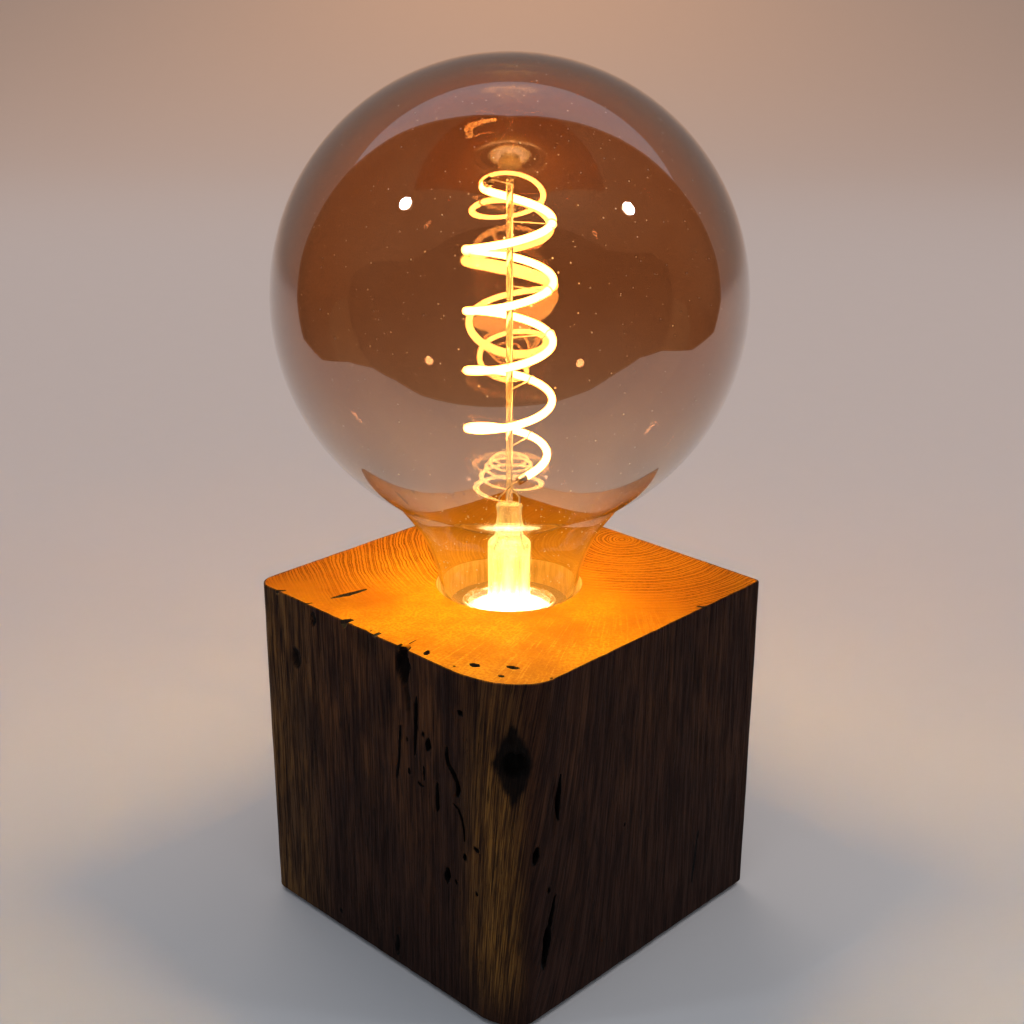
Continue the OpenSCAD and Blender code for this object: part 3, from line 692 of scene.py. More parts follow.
# Hollows worn into the sides: direction in degrees, height, half width, half height, depth, how pointed, how dark
hollowMarks = [
    (-77.6, 96.0, 2.7, 5.6, 3.2, 1.6, 0.95),  # gouge at the top edge
    (-76.4, 88.5, 0.8, 5.5, 0.8, 2.0, 0.75),
    (-75.2, 84.0, 0.5, 6.0, 0.4, 2.0, 0.60),
    (-44.7, 78.6, 5.2, 10.5, 1.0, 1.2, 0.95),  # large knot at the waney corner
    (-44.3, 78.2, 3.4, 3.8, 2.6, 2.4, 1.0),
    (-44.9, 86.5, 0.9, 5.5, 0.5, 1.6, 0.55),
    (-124.0, 82.4, 2.0, 3.4, 1.2, 1.8, 0.9),  # small knot
    (-95.0, 97.5, 4.6, 5.6, 0.4, 2.0, 0.6),
    (-117.0, 97.1, 1.0, 2.4, 1.2, 2.0, 0.9),
    (-35.0, 64.0, 1.2, 9.0, 0.5, 2.0, 0.35),
]
grainLean = ([-62, -50, -40, -24, -4, 25], [0.0, 0.09, 0.20, 0.10, 0.04, 0.0])  # by direction in degrees


# Place along the outline that a fibre has at the top
def fibreRun(run, z):
    lean = np.interp(run, [runAt(turn) for turn in grainLean[0]], grainLean[1])
    return run + lean * (topHeight - z)


# How far each point of a side lies below the sawn face, and how dark it is worn
def sideDepths(run, z):
    s = blockShape
    along = fibreRun(run, z)
    warp = 0.5 * noiseAt(along, z, 9, 35, 5)
    grooves = (0.5 * noiseAt(along, z, 1.4, 13, 11, warp) + 0.3 * noiseAt(along, z, 3.1, 22, 12, warp)
               + 0.2 * noiseAt(along, z, 0.9, 7, 13))
    depth = s["grooves"] * np.clip(0.5 + grooves, 0, 1.4)
    depth += s["hollows"] * np.clip(0.5 + 0.5 * noiseAt(run, z, 24, 30, 21), 0, 1)
    worn = np.zeros_like(depth)
    ragged = 0.10 * noiseAt(run, z, 1.3, 2.6, 31) + 0.06 * noiseAt(run, z, 0.7, 1, 32)
    for turn, height, halfWide, halfTall, deep, power, dark in hollowMarks:
        du = np.abs(run - runAt(turn)) / (halfWide * mm)
        dv = np.abs(z - height * mm) / (halfTall * mm)
        away = (du ** power + dv ** power) ** (1 / power) + ragged
        share = smoothStep(np.clip((1.1 - away) / 0.6, 0, 1))
        depth += deep * mm * share * (0.85 + 0.3 * noiseAt(run, z, 0.9, 2, 41))
        worn = np.maximum(worn, np.clip((1.12 - away) / (0.20 if dark > 0.7 else 0.8), 0, 1) * dark)
    return depth, worn


def buildBlock():
    s = blockShape
    count, bottom, step = s["columns"], blockLow.z, blockLow.z + s["coverStep"]
    c, n = np.cos(columnTurns), np.sin(columnTurns)
    before, after = np.roll(columnTurns, 1), np.roll(columnTurns, -1)
    rings = []  # points, wear and material of each

    def addRing(reach, z, material, worn=0):
        ring = np.stack([reach * c, reach * n, np.broadcast_to(z, count)], 1)
        rings.append((ring, np.broadcast_to(worn, count), material))

    # bottom face, from the cover's rebate out to the edge
    edge = blockRadius(columnTurns, bottom, s["ease"])
    for share in np.linspace(0, 1, 12):
        addRing(s["cover"] + (edge - s["cover"]) * share, bottom, topOak)
    # sides, with eased edges
    heights = list(bottom + s["ease"] * (1 - np.cos(np.linspace(0, pi / 2, 5)[1:-1])))
    heights += list(np.linspace(bottom + s["ease"], topHeight - s["ease"], s["levels"]))
    heights += list(topHeight - s["ease"] * (1 - np.sin(np.linspace(0, pi / 2, 6)[1:-1])))
    for z in heights:
        nearEdge = max(0, s["ease"] - min(z - bottom, topHeight - z)) / s["ease"]
        inset = s["ease"] * (1 - sqrt(max(0, 1 - nearEdge ** 2)))
        depth, worn = sideDepths(columnRun, np.full(count, z))
        reach, ahead, back = (blockRadius(turns, z, inset) for turns in (columnTurns, after, before))
        alongX = ahead * np.cos(after) - back * np.cos(before)
        alongY = ahead * np.sin(after) - back * np.sin(before)
        square = (c * alongY - n * alongX) / np.hypot(alongX, alongY)  # the face's lean from the ray
        addRing(reach - depth / np.maximum(square, 0.7), z, sideOak, worn)
    # top face, from the edge in to the bore
    depth, worn = sideDepths(columnRun, np.full(count, topHeight - s["ease"]))
    edge = blockRadius(columnTurns, topHeight, s["ease"]) - depth
    for share in np.linspace(0, 1, 64):
        reach = edge + (s["bore"] + s["ease"] - edge) * share
        x, y = reach * c, reach * n
        dip = s["dips"] * (1 + noiseAt(x, y, 9, 7, 51)) + s["fineDips"] * noiseAt(x, y, 1.7, 1.7, 52)
        dip = dip + worn * 1.2 * mm * max(0, 1 - share * 26)
        addRing(reach, topHeight - np.maximum(dip, 0), topOak)
    addRing(s["bore"] + 0.12 * mm, topHeight - 0.12 * mm, topOak)
    # bore, tube's hole, recess and rebate, from the top down
    circles = [(s["bore"], z) for z in np.linspace(topHeight - s["ease"], boreFloor, 14)]
    circles += [(radius, boreFloor) for radius in (16 * mm, 10 * mm, s["tubeHole"])]
    circles += [(s["tubeHole"], z) for z in np.linspace(boreFloor - 4 * mm, s["recessTop"], 6)]
    circles += [(radius, s["recessTop"]) for radius in (10 * mm, 17 * mm, s["recess"])]
    circles += [(s["recess"], z) for z in np.linspace(s["recessTop"] - 3 * mm, step, 6)]
    circles += [(29 * mm, step), (s["cover"], step), (s["cover"], bottom + 1 * mm)]
    for radius, z in circles:
        addRing(radius, z, freshOak)

    materials = (topOak, sideOak, burrow, freshOak)
    points = np.concatenate([ring[0] for ring in rings])
    block = meshPiece("woodBlock", points, gridFaces(len(rings), count, closed=True), materials)
    pick = []
    for here, following in zip(rings, rings[1:] + rings[:1]):
        pick += [materials.index(sideOak if sideOak in (here[2], following[2]) else here[2])] * count
    block.data.polygons.foreach_set("material_index", pick)
    worn = block.data.attributes.new("worn", "FLOAT", "POINT")
    worn.data.foreach_set("value", np.concatenate([ring[1] for ring in rings]).astype(np.float32))
    unrolled = block.data.attributes.new("unrolled", "FLOAT_VECTOR", "POINT")
    circle = fineRun[-1] / (2 * pi)
    turns = np.concatenate([fibreRun(columnRun, np.full(count, ring[0][0, 2])) for ring in rings]) / circle
    laid = np.stack([circle * np.cos(turns), circle * np.sin(turns), points[:, 2]], 1)
    unrolled.data.foreach_set("vector", laid.astype(np.float32).ravel())
    return mend(block)


# Cuts in the sides, in mm: the depth, then direction in degrees, height and width of each point of its path
sideCuts = [
    (4, (-117.2, 98.6, 1.3), (-116.9, 97, 1.7), (-117.1, 95.3, 1.2)),
    (5, (-72.2, 89.2, 0.5), (-72.3, 87, 1.4), (-72.8, 80, 1.6), (-73.4, 72.5, 1), (-73.6, 70.6, 0.4)),
    (4, (-79.2, 78.6, 0.5), (-79.4, 76, 1), (-80.3, 67.7, 0.9), (-81.4, 62.2, 1), (-81.6, 60.6, 0.5)),
    (5, (-68, 78, 1.4), (-68.2, 76.3, 2.6), (-68.5, 74.8, 1.6)), (3, (-70.1, 79.3, 0.7), (-69.8, 78.5, 1.2)),
    (3, (-69.9, 69.4, 0.7), (-70, 67.2, 0.9), (-69.8, 65.2, 0.6)), (4, (-76.1, 66.2, 0.8), (-76, 64.9, 1.3)),
    (3, (-72.3, 63.7, 0.8), (-71.2, 63.2, 1.1), (-70.2, 63.3, 0.7)),
    (5, (-65, 66.6, 0.8), (-65.1, 63, 1.5), (-65.2, 59, 1.5), (-65.3, 57.6, 0.7)),
    (5, (-57.7, 90.2, 1.5), (-57.2, 89.8, 1.9)),
    (4, (-61.7, 79, 0.8), (-61.8, 76.6, 1.5), (-61.5, 74.3, 1.5), (-59.4, 71.6, 1.9), (-58.2, 69.5, 1.6),
     (-58, 67.2, 1.9), (-58.3, 65.2, 1.2)),
    (3, (-59.7, 63.2, 0.6), (-58.2, 62.4, 0.9), (-57.2, 60.2, 0.9), (-56.5, 56.5, 0.8), (-56.3, 52.8, 0.5)),
    (4, (-56.3, 49.4, 1.2), (-56.4, 48.2, 1.6)), (3, (-53.6, 53, 1), (-52.8, 52.4, 1.5)),
    (5, (-61.6, 42.2, 1.6), (-61.8, 40.2, 2.6), (-61.9, 38.2, 1.8)), (3, (-59.2, 40, 0.9), (-59, 39.2, 1.1)),
    (3, (-53.2, 39.7, 0.7), (-53, 39, 0.8)), (5, (-83, 10.8, 0.9), (-83.2, 8, 1.8), (-83.4, 4.4, 1.7)),
    (3, (-110.5, 7, 1.1), (-110.3, 6.2, 1.2)), (3, (-76.6, 75.2, 0.5), (-76.5, 74.4, 0.7)),
    (5, (-32.9, 73.2, 0.6), (-33.5, 68, 2.1), (-33.8, 63.6, 2), (-33.6, 59.3, 0.8)),
    (5, (-39.2, 54.8, 1.3), (-39.5, 52.6, 2.2), (-39.8, 50.4, 1.5)), (3, (-35.8, 40.8, 0.9), (-36, 39.6, 1.1)),
    (6, (-34, 38, 0.6), (-34.7, 34, 1.5), (-35.6, 29.5, 1.9), (-36.4, 25.6, 3.4), (-36.8, 20, 2.6),
     (-37.2, 16.4, 1.8)), (2, (-7.5, 46.8, 0.5), (-7.7, 46.2, 0.6)),
    (4, (118, 84, 0.5), (117.6, 74, 1.3), (117.9, 64, 0.7)), (4, (74, 38, 1.3), (74.3, 36.6, 1.5)),
    (4, (151, 61, 1.2), (151.4, 59.6, 1.4)), (4, (168, 92, 0.6), (168.5, 80, 1.2), (168.2, 66, 0.6)),
    (4, (-160, 31, 1.3), (-160.3, 29.4, 1.5)), (4, (97, 91, 1.3), (96.6, 89.6, 1.6)),
    (3, (28, 30, 0.5), (27, 20, 1.1), (26.2, 12, 0.5)),
]
# Cuts in the top, in mm: the depth, then x, y and width of each point of its path
topCuts = [
    (5, (30.1, -43.9, 1.9), (31.6, -43.5, 2)), (5, (37.3, -38.5, 1.1), (38.5, -38.1, 1.9), (39.7, -37.3, 1.3)),
    (4, (39.4, -43.4, 1.2), (40.2, -43.2, 1.3)), (5, (16.6, -46.5, 1), (17.3, -47.4, 1.8), (17.6, -48.2, 1.3)),
    (2, (49.1, -35.6, 0.6), (49.4, -35.2, 0.7)), (2, (27.5, -47.9, 0.6), (27.9, -47.7, 0.7)),
    (4, (-26.4, -43.2, 0.5), (-25.7, -41, 1.5), (-24.9, -38, 2.1), (-24.4, -35, 1.7), (-24, -31.8, 0.9)),
    (2, (10.2, -47, 0.5), (9.8, -44.2, 0.25)),
]
# Notches broken out of the top edge: direction in degrees, width, height, in mm
edgeNotches = [(-103.6, 3.6, 2.6), (-129.2, 1.7, 2.0), (-119.6, 1.2, 1.3), (-90.0, 2.6, 1.0), (-93.5, 1.0, 0.8),
               (-76.4, 2.4, 4.2), (-79.6, 1.4, 2.0), (26.0, 2.2, 1.2), (141.0, 1.8, 1.3)]
# shares of a notch's half width and height; None is above the edge
notchOutline = [(-1, None), (-0.8, 0.5), (0.1, 1), (0.7, 0.4), (1, None)]


# Closed outline round a path whose third value is its width; ends are rounded
def outlineOf(path, wobble, seed):
    flat = [np.array(p[:2], float) for p in path]

    def heading(a, b):
        return (b - a) / np.linalg.norm(b - a)
    left, right = [], []
    for i, here in enumerate(flat):
        way = heading(flat[max(i - 1, 0)], flat[min(i + 1, len(flat) - 1)])
        side = np.array([-way[1], way[0]])
        half = path[i][2] / 2
        jitter = 1 + wobble * valueNoise(np.array([seed + i * 1.7]), np.array([0.5]), 61)[0]
        left.append(here + side * half * jitter)
        right.append(here - side * half * (2 - jitter))
    endCap = flat[-1] + heading(flat[-2], flat[-1]) * path[-1][2] * 0.5
    startCap = flat[0] + heading(flat[1], flat[0]) * path[0][2] * 0.5
    return left + [endCap] + right[::-1] + [startCap]


# More points along a path, so that a cut bends smoothly
def refine(path, step):
    path = [np.array(p, float) for p in path]
    made = [path[0]]
    for a, b in zip(path, path[1:]):
        count = max(1, int(ceil(np.linalg.norm((b - a)[:2]) / step)))
        made += [a + (b - a) * (k / count) for k in range(1, count + 1)]
    return made


# Closed prism between two outlines of equal count
def addPrism(points, faces, outer, inner):
    start, count = len(points), len(outer)
    points += outer + inner
    faces.append(tuple(start + i for i in range(count)))
    faces.append(tuple(start + count + i for i in range(count - 1, -1, -1)))
    for i in range(count):
        j = (i + 1) % count
        faces.append((start + i, start + count + i, start + count + j, start + j))


# Points below the sawn face of a side and below the top
def onSide(run, height, depth):
    turn = float(np.interp(run, fineRun, fineTurns))
    reach = float(blockRadius(np.array([turn]), height, 0)[0])
    reach -= depth / max(abs(cos(turn)), abs(sin(turn)))
    return (reach * cos(turn), reach * sin(turn), height)


def onTop(x, y, depth):
    return (x, y, topHeight - depth)


def shrink(outline, share):
    middle = sum(outline) / len(outline)
    return [middle + (p - middle) * share for p in outline]


def buildCutters():
    points, faces = [], []
    proud = 1.2 * mm  # of the surface
    # steps along a path, wobble of its rim, first seed and the floor's share of the rim
    for cuts, placeOf, face, step, wobble, seed, share in (
            (sideCuts, runAt, onSide, 1.6 * mm, 0.35, 0, 0.72),
            (topCuts, lambda x: x * mm, onTop, 1.4 * mm, 0.3, 400, 0.7)):
        for deep, *path in cuts:
            placed = [(placeOf(u), v * mm, width * mm) for u, v, width in path]
            rim = outlineOf(refine(placed, step), wobble, seed)
            addPrism(points, faces, [face(u, v, -proud) for u, v in rim],
                     [face(u, v, deep * mm) for u, v in shrink(rim, share)])
            seed += 13.0
    for turn, wide, tall in edgeNotches:
        run, half = runAt(turn), wide * mm / 2
        rim = [np.array((run + half * side, topHeight + 1 * mm if drop is None else topHeight - tall * mm * drop))
               for side, drop in notchOutline]
        addPrism(points, faces, [onSide(u, v, -proud) for u, v in rim],
                 [onSide(u, max(v, topHeight - tall * mm * 0.4), 1.5 * mm + wide * mm * 0.3)
                  for u, v in shrink(rim, 0.5)])
    low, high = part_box("cable_bushing")
    middle, radius = (low.z + high.z) / 2, blockShape["inlet"]
    ring = [(radius * cos(t), middle + radius * sin(t)) for t in np.linspace(0, 2 * pi, 33)[:-1]]
    addPrism(points, faces, [(x, blockHigh.y + 3 * mm, z) for x, z in ring], [(x, 15 * mm, z) for x, z in ring])
    return mend(meshPiece("cutter", points, faces, [burrow], smooth=False), triangles=True)


def carve(block, cutter):
    cut = block.modifiers.new("cuts", "BOOLEAN")
    cut.operation, cut.solver, cut.object = "DIFFERENCE", "MANIFOLD", cutter
    cut.material_mode = "TRANSFER"
    shown = block.evaluated_get(bpy.context.evaluated_depsgraph_get())
    done = bpy.data.meshes.new_from_object(shown)
    block.modifiers.clear()
    block.data = done
    bpy.data.objects.remove(cutter)


block = buildBlock()
carve(block, buildCutters())
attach(block, "lamp")
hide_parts("wood_block")
print("wood block ready", len(block.data.polygons))


glassShape = {
    "wall": 0.9 * mm,
    "waist": 19.1 * mm,  # where the flare would be narrowest, inside the block
    "flare": 44 * mm,
    "collar": 12.6 * mm,
    "sealDrop": 6.2 * mm,
    "steps": 192,
}


# Half outline of the glass from crown to collar, drawn in by inset
def glassOutline(inset):
    s = glassShape
    sealHeight = topHeight - s["sealDrop"]
    flareX = s["waist"] + s["flare"]
    flareZ = globeHeight - sqrt((globeRadius + s["flare"]) ** 2 - flareX ** 2)
    turn = degrees(atan2(flareZ - globeHeight, flareX))
    outward, dip = flareX - s["collar"], flareZ - sealHeight
    shoulder = (outward ** 2 + dip ** 2 - s["flare"] ** 2) / (2 * (s["flare"] + dip))  # it touches the flare
    shoulderTurn = degrees(atan2(dip - shoulder, outward))
    line = arc(0, globeHeight, globeRadius - inset, 90, turn, 110)
    line += arc(flareX, flareZ, s["flare"] + inset, 180 + turn, 180 + shoulderTurn, 30)
    line += arc(s["collar"], sealHeight + shoulder, shoulder - inset, shoulderTurn, -90, 14)
    line += [(s["collar"] - inset, sealHeight + inset), (s["collar"] - inset, globeLow.z)]
    return line


globe = revolve("glassGlobe", glassOutline(0) + glassOutline(glassShape["wall"])[::-1], glassShape["steps"],
                smokedGlass)
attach(globe, "bulb")
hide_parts("glass_globe")


stemShape = {
    "column": 5.9 * mm,
    "trumpet": 5.4 * mm,
    "shoulder": 115 * mm,
    "pinch": 117.4 * mm,
    "top": 123.9 * mm,
    "hollowTop": 112 * mm,
    "pinchWide": 3.8 * mm,
    "pinchThick": 1.9 * mm,
    "pinchTurn": 44,
    "wall": 0.9 * mm,
    "steps": 72,
}


# Rings of the stem from the pinch's top down its outside, then up its inside: height and two radii
def stemSections():
    s = stemShape
    wide, thick, column, wall, top = (s[k] for k in ("pinchWide", "pinchThick", "column", "wall", "top"))
    rows = [(top, 0.0, 0.0), (top, wide * 0.55, thick * 0.5), (top - 0.5 * mm, wide * 0.93, thick * 0.85)]
    for i in range(7):
        bulge = sin(pi * i / 6)
        z = top - 1 * mm - (top - 1 * mm - s["pinch"]) * i / 6
        rows.append((z, wide * (1 - 0.10 * bulge), thick * (1 + 0.12 * bulge)))
    for i in range(1, 9):
        u = smoothStep(i / 8)
        z = s["pinch"] + (s["shoulder"] - 1.6 * mm - s["pinch"]) * i / 8
        rows.append((z, wide + (column - wide) * u, thick + (column - thick) * u))
    low, collar, inner = globeLow.z, glassShape["collar"], column - wall
    footX, footZ = column + s["trumpet"], low + s["trumpet"]
    lower = [(column, z) for z in np.linspace(s["shoulder"] - 4 * mm, footZ + 1 * mm, 8)]
    lower += arc(footX, footZ, s["trumpet"], 180, 270, 10) + [(collar, low), (collar, low - wall)]
    lower += arc(footX, footZ, s["trumpet"] + wall, 270, 180, 10)
    lower += [(inner, z) for z in np.linspace(footZ + 2 * mm, s["hollowTop"] - 3 * mm, 6)]
    for i in range(1, 7):
        t = radians(90 * i / 6)
        lower.append((inner * cos(t), s["hollowTop"] - 3 * mm + 3 * mm * sin(t)))
    return rows + [(z, r, r) for r, z in lower]


def buildStem():
    turn, steps, rows = radians(stemShape["pinchTurn"]), stemShape["steps"], stemSections()
    points = []
    for z, wide, thick in rows:
        for i in range(steps):
            t = 2 * pi * i / steps
            x, y = wide * cos(t), thick * sin(t)
            points.append((x * cos(turn) - y * sin(turn), x * sin(turn) + y * cos(turn), z))
    return mend(meshPiece("glassStem", points, gridFaces(len(rows), steps), [stemGlass]), weld=True)


stem = buildStem()
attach(stem, "bulb")
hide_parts("glass_stem")


strandShape = {
    "radius": 11.5 * mm,
    "turns": 4.7,
    "rise": 16.2 * mm,
    "low": 135.2 * mm,
    "start": -8,
    "lowDraw": 2 * mm,  # drawn in, over the first turns and over the last
    "lowOver": 0.35,
    "topDraw": 4.7 * mm,
    "topOver": 0.7,
    "thick": 2 * mm,
}


def strandPoint(t):
    s = strandShape
    low, top = ease(t / s["lowOver"]), ease((t - s["turns"] + s["topOver"]) / s["topOver"])
    r = s["radius"] - s["lowDraw"] * (1 - low) - s["topDraw"] * top
    turn = radians(s["start"] + 360 * t)
    return Vector((r * cos(turn), r * sin(turn), s["low"] + s["rise"] * t))


def buildStrand():
    turns, thick = strandShape["turns"], strandShape["thick"]
    steps = round(turns * 60)
    path = [strandPoint(turns * i / steps) for i in range(steps + 1)]
    first = (path[0] - path[1]).normalized() * thick
    last = (path[-1] - path[-2]).normalized() * thick
    return sweep("strand", [path[0] + first] + path + [path[-1] + last], thick / 2, 16, strandGlow)


strand = buildStrand()
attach(strand, "bulb")
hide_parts("filament_coil")


threadShape = {
    "pitch": 3.629 * mm,
    "depth": 0.95 * mm,
    "from": 1.5 * mm,  # above the cap's curl
    "to": 3 * mm,  # below its rim
    "fade": 2.2 * mm,
    "steps": 120,
}
capLow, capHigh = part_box("cap_shell")
shellLow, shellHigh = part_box("screw_shell")
capSide = {"sheet": 0.4 * mm, "hole": 7.5 * mm, "curl": 2.6 * mm}
shellSide = {"sheet": 0.45 * mm, "well": 8.4 * mm, "gap": 0.15 * mm}
rise = [i / 84 for i in range(85)]  # shares of the threaded height


# Radius with a rounded screw thread pressed in, which fades out at both ends of its zone
def threaded(r, z, turn, share=1):
    s = threadShape
    low, high = capLow.z + capSide["curl"] + s["from"], capHigh.z - s["to"]
    fade = min(ease((z - low) / s["fade"]), ease((high - z) / s["fade"]))
    wave = 0.5 - 0.5 * cos(2 * pi * (z / s["pitch"] - turn / (2 * pi)))
    return r - s["depth"] * wave * fade * share


def buildCap():
    s = capSide
    radius, curlZ = capHigh.x, capLow.z + s["curl"]
    heights = [curlZ + (capHigh.z - curlZ) * share for share in rise]
    outline = [(radius - s["sheet"], z) for z in heights] + [(radius, z) for z in heights[::-1]]
    outline += [(s["hole"], capLow.z), (s["hole"], capLow.z + s["sheet"] * 1.2)]

    def shape(r, z, turn):
        return r if r < radius - s["sheet"] * 1.5 else threaded(r, z, turn)
    return revolve("capThread", outline, threadShape["steps"], nickel, shape)


def buildShell():
    s = shellSide
    inside, low = capHigh.x + s["gap"], shellLow.z + s["sheet"]
    heights = [low + (shellHigh.z - low) * share for share in rise]
    outline = [(s["well"], low), (s["well"], shellLow.z)]
    outline += [(inside + s["sheet"], z) for z in [shellLow.z] + heights[1:]]
    outline += [(inside, z) for z in heights[:0:-1]]

    def shape(r, z, turn):
        return r if r < inside - 0.01 * mm else threaded(r, z, turn, 0.98)
    return revolve("shellThread", outline, threadShape["steps"], brass, shape)


cap = buildCap()
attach(cap, "bulb")
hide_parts("cap_shell")
shell = buildShell()
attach(shell, "lamp")
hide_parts("screw_shell")
print("bulb ready")


nodeFinishes = [
    (felt, "foot_pads"),
    (basePlastic, "base_cover cable_bushing"),
    (zinc, "cover_screws threaded_tube tube_nut tube_washer terminal_screws locking_screw"),
    (blackPlastic, "holder_cap holder_sleeve"),
    (steatite, "holder_core"),
    (brass, "centre_contact side_contact terminal_blocks"),
    (vitrite, "cap_insulator"),
    (solder, "cap_eyelet"),
    (circuitBoard, "driver_board"),
    (canBlue, "driver_capacitor"),
    (wire, "cap_wires lead_wires support_wires"),
    (stemGlass, "exhaust_tube centre_post"),
    (nickel, "filament_clips"),
]
for finish, names in nodeFinishes:
    for name in names.split():
        nodes[name].data.materials.clear()
        nodes[name].data.materials.append(finish)
print("finishes ready")


globeMiddle = Vector((0, 0, globeHeight))
studio = {
    "floorColour": (0.56, 0.475, 0.44),
    "floorSize": 14.0,
    "riseAt": 3.0,  # behind the lamp, in metres
    "bend": 1.6,
    "wallTop": 4.0,
    "paintedWarmLight": (1.0, 0.83, 0.70),  # painted light on the paper: warm light of the bulb further back, cool shade in front
    "paintedCoolShade": (0.80, 0.95, 1.05),
    "paintedWarmOver": (1.2, 3.0),
    "paintedShadeOver": (-0.20, 0.45),
    "worldColour": (0.64, 0.85, 1.02),
    "ceilingColour": (0.72, 0.82, 0.98),
    "ceilingOver": (0.15, 0.75),
    "worldStrength": 0.53,
    "lampColour": (1.0, 0.87, 0.76),
    "lampSize": 1.6,
    "lampsTo": (0, 0, 0.1),
    "lamps": [(155, 45, 1.9, 10), (65, 45, 1.9, 9), (-50, 62, 2.0, 6)],  # direction, height, distance, watts
    "washColour": (1.0, 0.57, 0.18),  # small lamp that warms the paper behind
    "washSize": 0.5,
    "washWatts": 2.2,
    "washFrom": (2.0, 0.85),  # distance behind the lamp and height
    "washTo": (2.25, 0.2),
    "glintColour": (0.80, 0.90, 1.0),  # small lamps that show in the globe
    "glintSize": 0.019,
    "glintWatts": 0.10,
    "glintDistance": 0.235,
    "glints": [(-103.5, 42.3), (18.5, 38.7)],
    "cardMiddle": (-45.9, 26),  # direction and height from the globe's middle, in degrees
    "cardEdge": [(142.7, 87.8), (59.7, 73.9), (57.8, 57.7), (57.7, 43.4), (57.3, 28.3), (58.0, 16.4), (58.4, 6.1),
                 (57.0, -3.1), (51.9, -10.9), (37.4, -14.2), (19.5, -12.1), (8.8, -13.3), (-1.9, -18.3),
                 (-11.9, -23.9), (-26.3, -28.4), (-45.8, -30.3), (-65.9, -29.8), (-83.1, -26.7), (-93.7, -21.5),
                 (-104.4, -17.6), (-116.9, -16.9), (-133.7, -18.1), (-145.7, -13.1), (-149.2, -3.6), (-151.0, 8.1),
                 (-151.0, 20.0), (-152.1, 34.8), (-154.0, 53.4), (-154.7, 70.5)],
    "cardRadius": 0.25,
    "cardColour": (0.030, 0.015, 0.010),
}
away = radians(cameraSetup["azimuth"] + 90)
ahead = Vector((cos(away), sin(away), 0))  # level, from the camera to the lamp


# Paper sweep: floor in front, rising behind the lamp as the camera sees it
def makeSweep():
    s = studio
    across = Vector((sin(away), -cos(away), 0))
    flat = s["riseAt"] - s["bend"]
    line = [(-s["floorSize"] / 2, 0), (0, 0), (flat, 0)] + arc(flat, s["bend"], s["bend"], -90, 0, 24)[1:]
    line += [(s["riseAt"], s["wallTop"])]
    points = [ahead * run + across * side * s["floorSize"] / 2 + Vector((0, 0, z)) for run, z in line
              for side in (-1, 0, 1)]
    faces = [(a, a + 1, a + 4, a + 3) for k in range(len(line) - 1) for a in (3 * k, 3 * k + 1)]
    made, shader, place = newMaterial("paper", Roughness=0.9, IOR=1.2)
    paler = tuple(v * 1.02 for v in s["floorColour"])
    colour = blendColour(noiseOf(place, 60, 4), s["floorColour"], paler)
    x, y = parts(place)[:2]
    run = y - x
    # painted warm light behind the lamp, painted cool shade in front
    tint = blendColour(remap(run, *s["paintedWarmOver"]), (1.0, 1.0, 1.0), s["paintedWarmLight"])
    tint = blendColour(remap(run, *s["paintedShadeOver"], 1, 0), tint, s["paintedCoolShade"])
    fill(shader, Base_Color=blendColour(1.0, colour, tint, "MULTIPLY"))
    side = put(place.tree, "ShaderNodeNewGeometry")
    mixWithClear(made, shader, out(side, "Backfacing"), (1, 1, 1))  # seen from below or behind, it isn't there
    meshPiece("paperSweep", points, faces, [made])


def makeWorld():
    world = bpy.data.worlds.new("studio")
    world.use_nodes = True
    place = out(put(world.node_tree, "ShaderNodeTexCoord"), "Generated")
    high = remap(parts(place)[2], *studio["ceilingOver"])
    fill(world.node_tree.nodes["Background"], Strength=studio["worldStrength"],
         Color=blendColour(high, studio["worldColour"], studio["ceilingColour"]))
    bpy.context.scene.world = world


# Place seen from the globe's middle at a direction and height in degrees
def around(turn, height, distance):
    t, h = radians(turn), radians(height)
    return globeMiddle + distance * Vector((cos(t) * cos(h), sin(t) * cos(h), sin(h)))


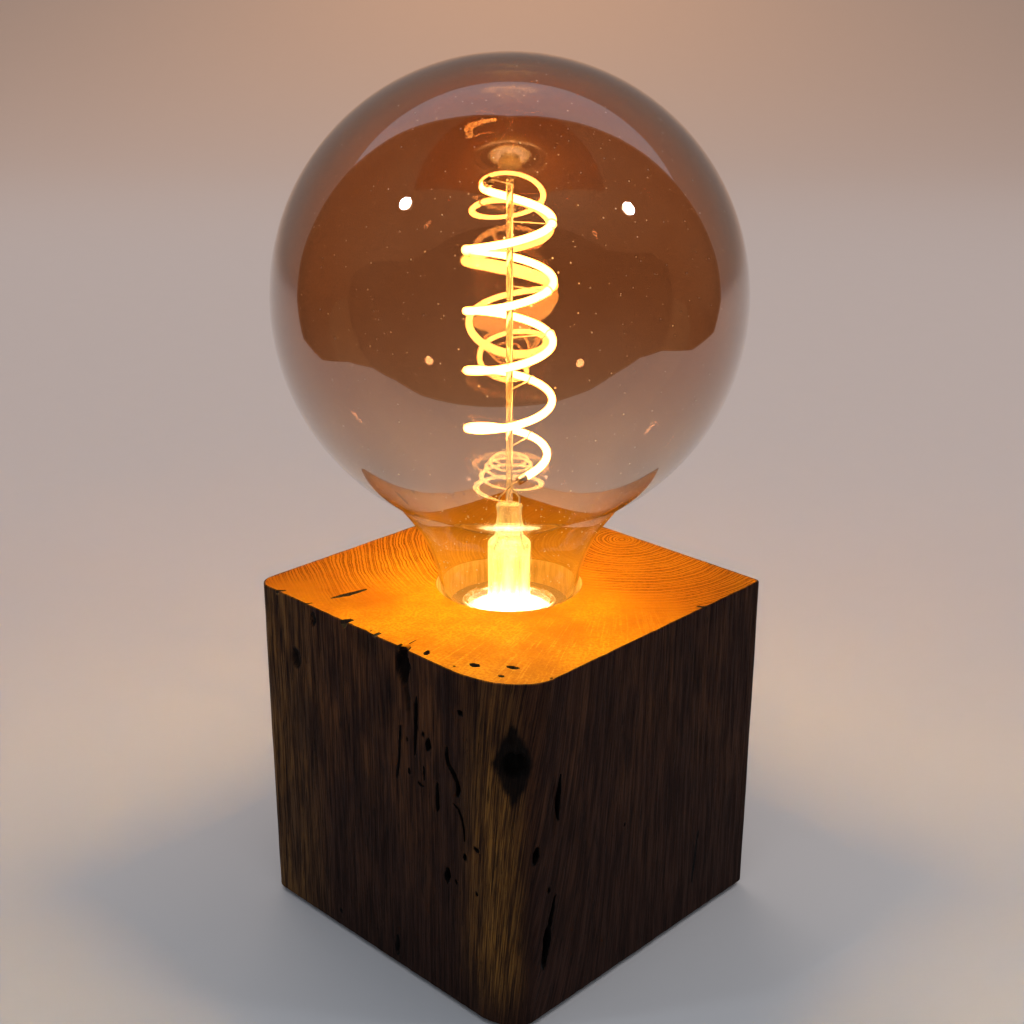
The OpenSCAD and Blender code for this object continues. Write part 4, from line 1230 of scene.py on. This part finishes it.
def addLamp(name, kind, place, target, hiddenFrom):
    data = bpy.data.lights.new(name, "AREA")
    data.shape, data.size, data.color = "DISK", studio[kind + "Size"], studio[kind + "Colour"]
    lamp = linked(name, data)
    for ray in hiddenFrom:
        setattr(lamp, "visible_" + ray, False)
    lamp.location = place
    lamp.rotation_euler = (target - place).to_track_quat("-Z", "Y").to_euler()
    return data


def makeLamps():
    s = studio
    for i, (turn, height, distance, watts) in enumerate(s["lamps"]):
        place = around(turn, height, distance)
        addLamp(f"softLamp{i + 1}", "lamp", place, Vector(s["lampsTo"]), ("glossy", "transmission")).energy = watts
    place, target = (ahead * run + Vector((0, 0, z)) for run, z in (s["washFrom"], s["washTo"]))
    addLamp("wallWash", "wash", place, target, ("camera", "glossy", "transmission")).energy = s["washWatts"]
    for i, (turn, height) in enumerate(s["glints"]):
        place = around(turn, height, s["glintDistance"])
        addLamp(f"glint{i + 1}", "glint", place, globeMiddle, ()).energy = s["glintWatts"]


# Dark curved card behind the camera, seen only in gloss and glass
def makeCard():
    s = studio
    middle = around(*s["cardMiddle"], 1) - globeMiddle
    edge = [around(turn, height, 1) - globeMiddle for turn, height in s["cardEdge"]]
    rounds, rows = 6 * len(edge), 16
    points = []
    for k in range(rows + 1):
        for i in range(rounds):
            low, share = divmod(i / 6, 1)
            rim = edge[int(low)].lerp(edge[(int(low) + 1) % len(edge)], smoothStep(share)).normalized()
            way = middle.slerp(rim, max(k / rows, 0.002), middle)
            points.append(globeMiddle + way * s["cardRadius"])
    made = bpy.data.materials.new("darkCard")
    made.use_nodes = True
    tree = made.node_tree
    tree.nodes.clear()
    glow = put(tree, "ShaderNodeEmission", Color=s["cardColour"])
    put(tree, "ShaderNodeOutputMaterial", Surface=out(glow))
    card = meshPiece("darkCard", points, gridFaces(rows + 1, rounds) + [tuple(range(rounds))], [made])
    card.visible_camera = card.visible_diffuse = card.visible_shadow = card.visible_volume_scatter = False


makeSweep()
makeWorld()
makeLamps()
makeCard()
print("studio ready")
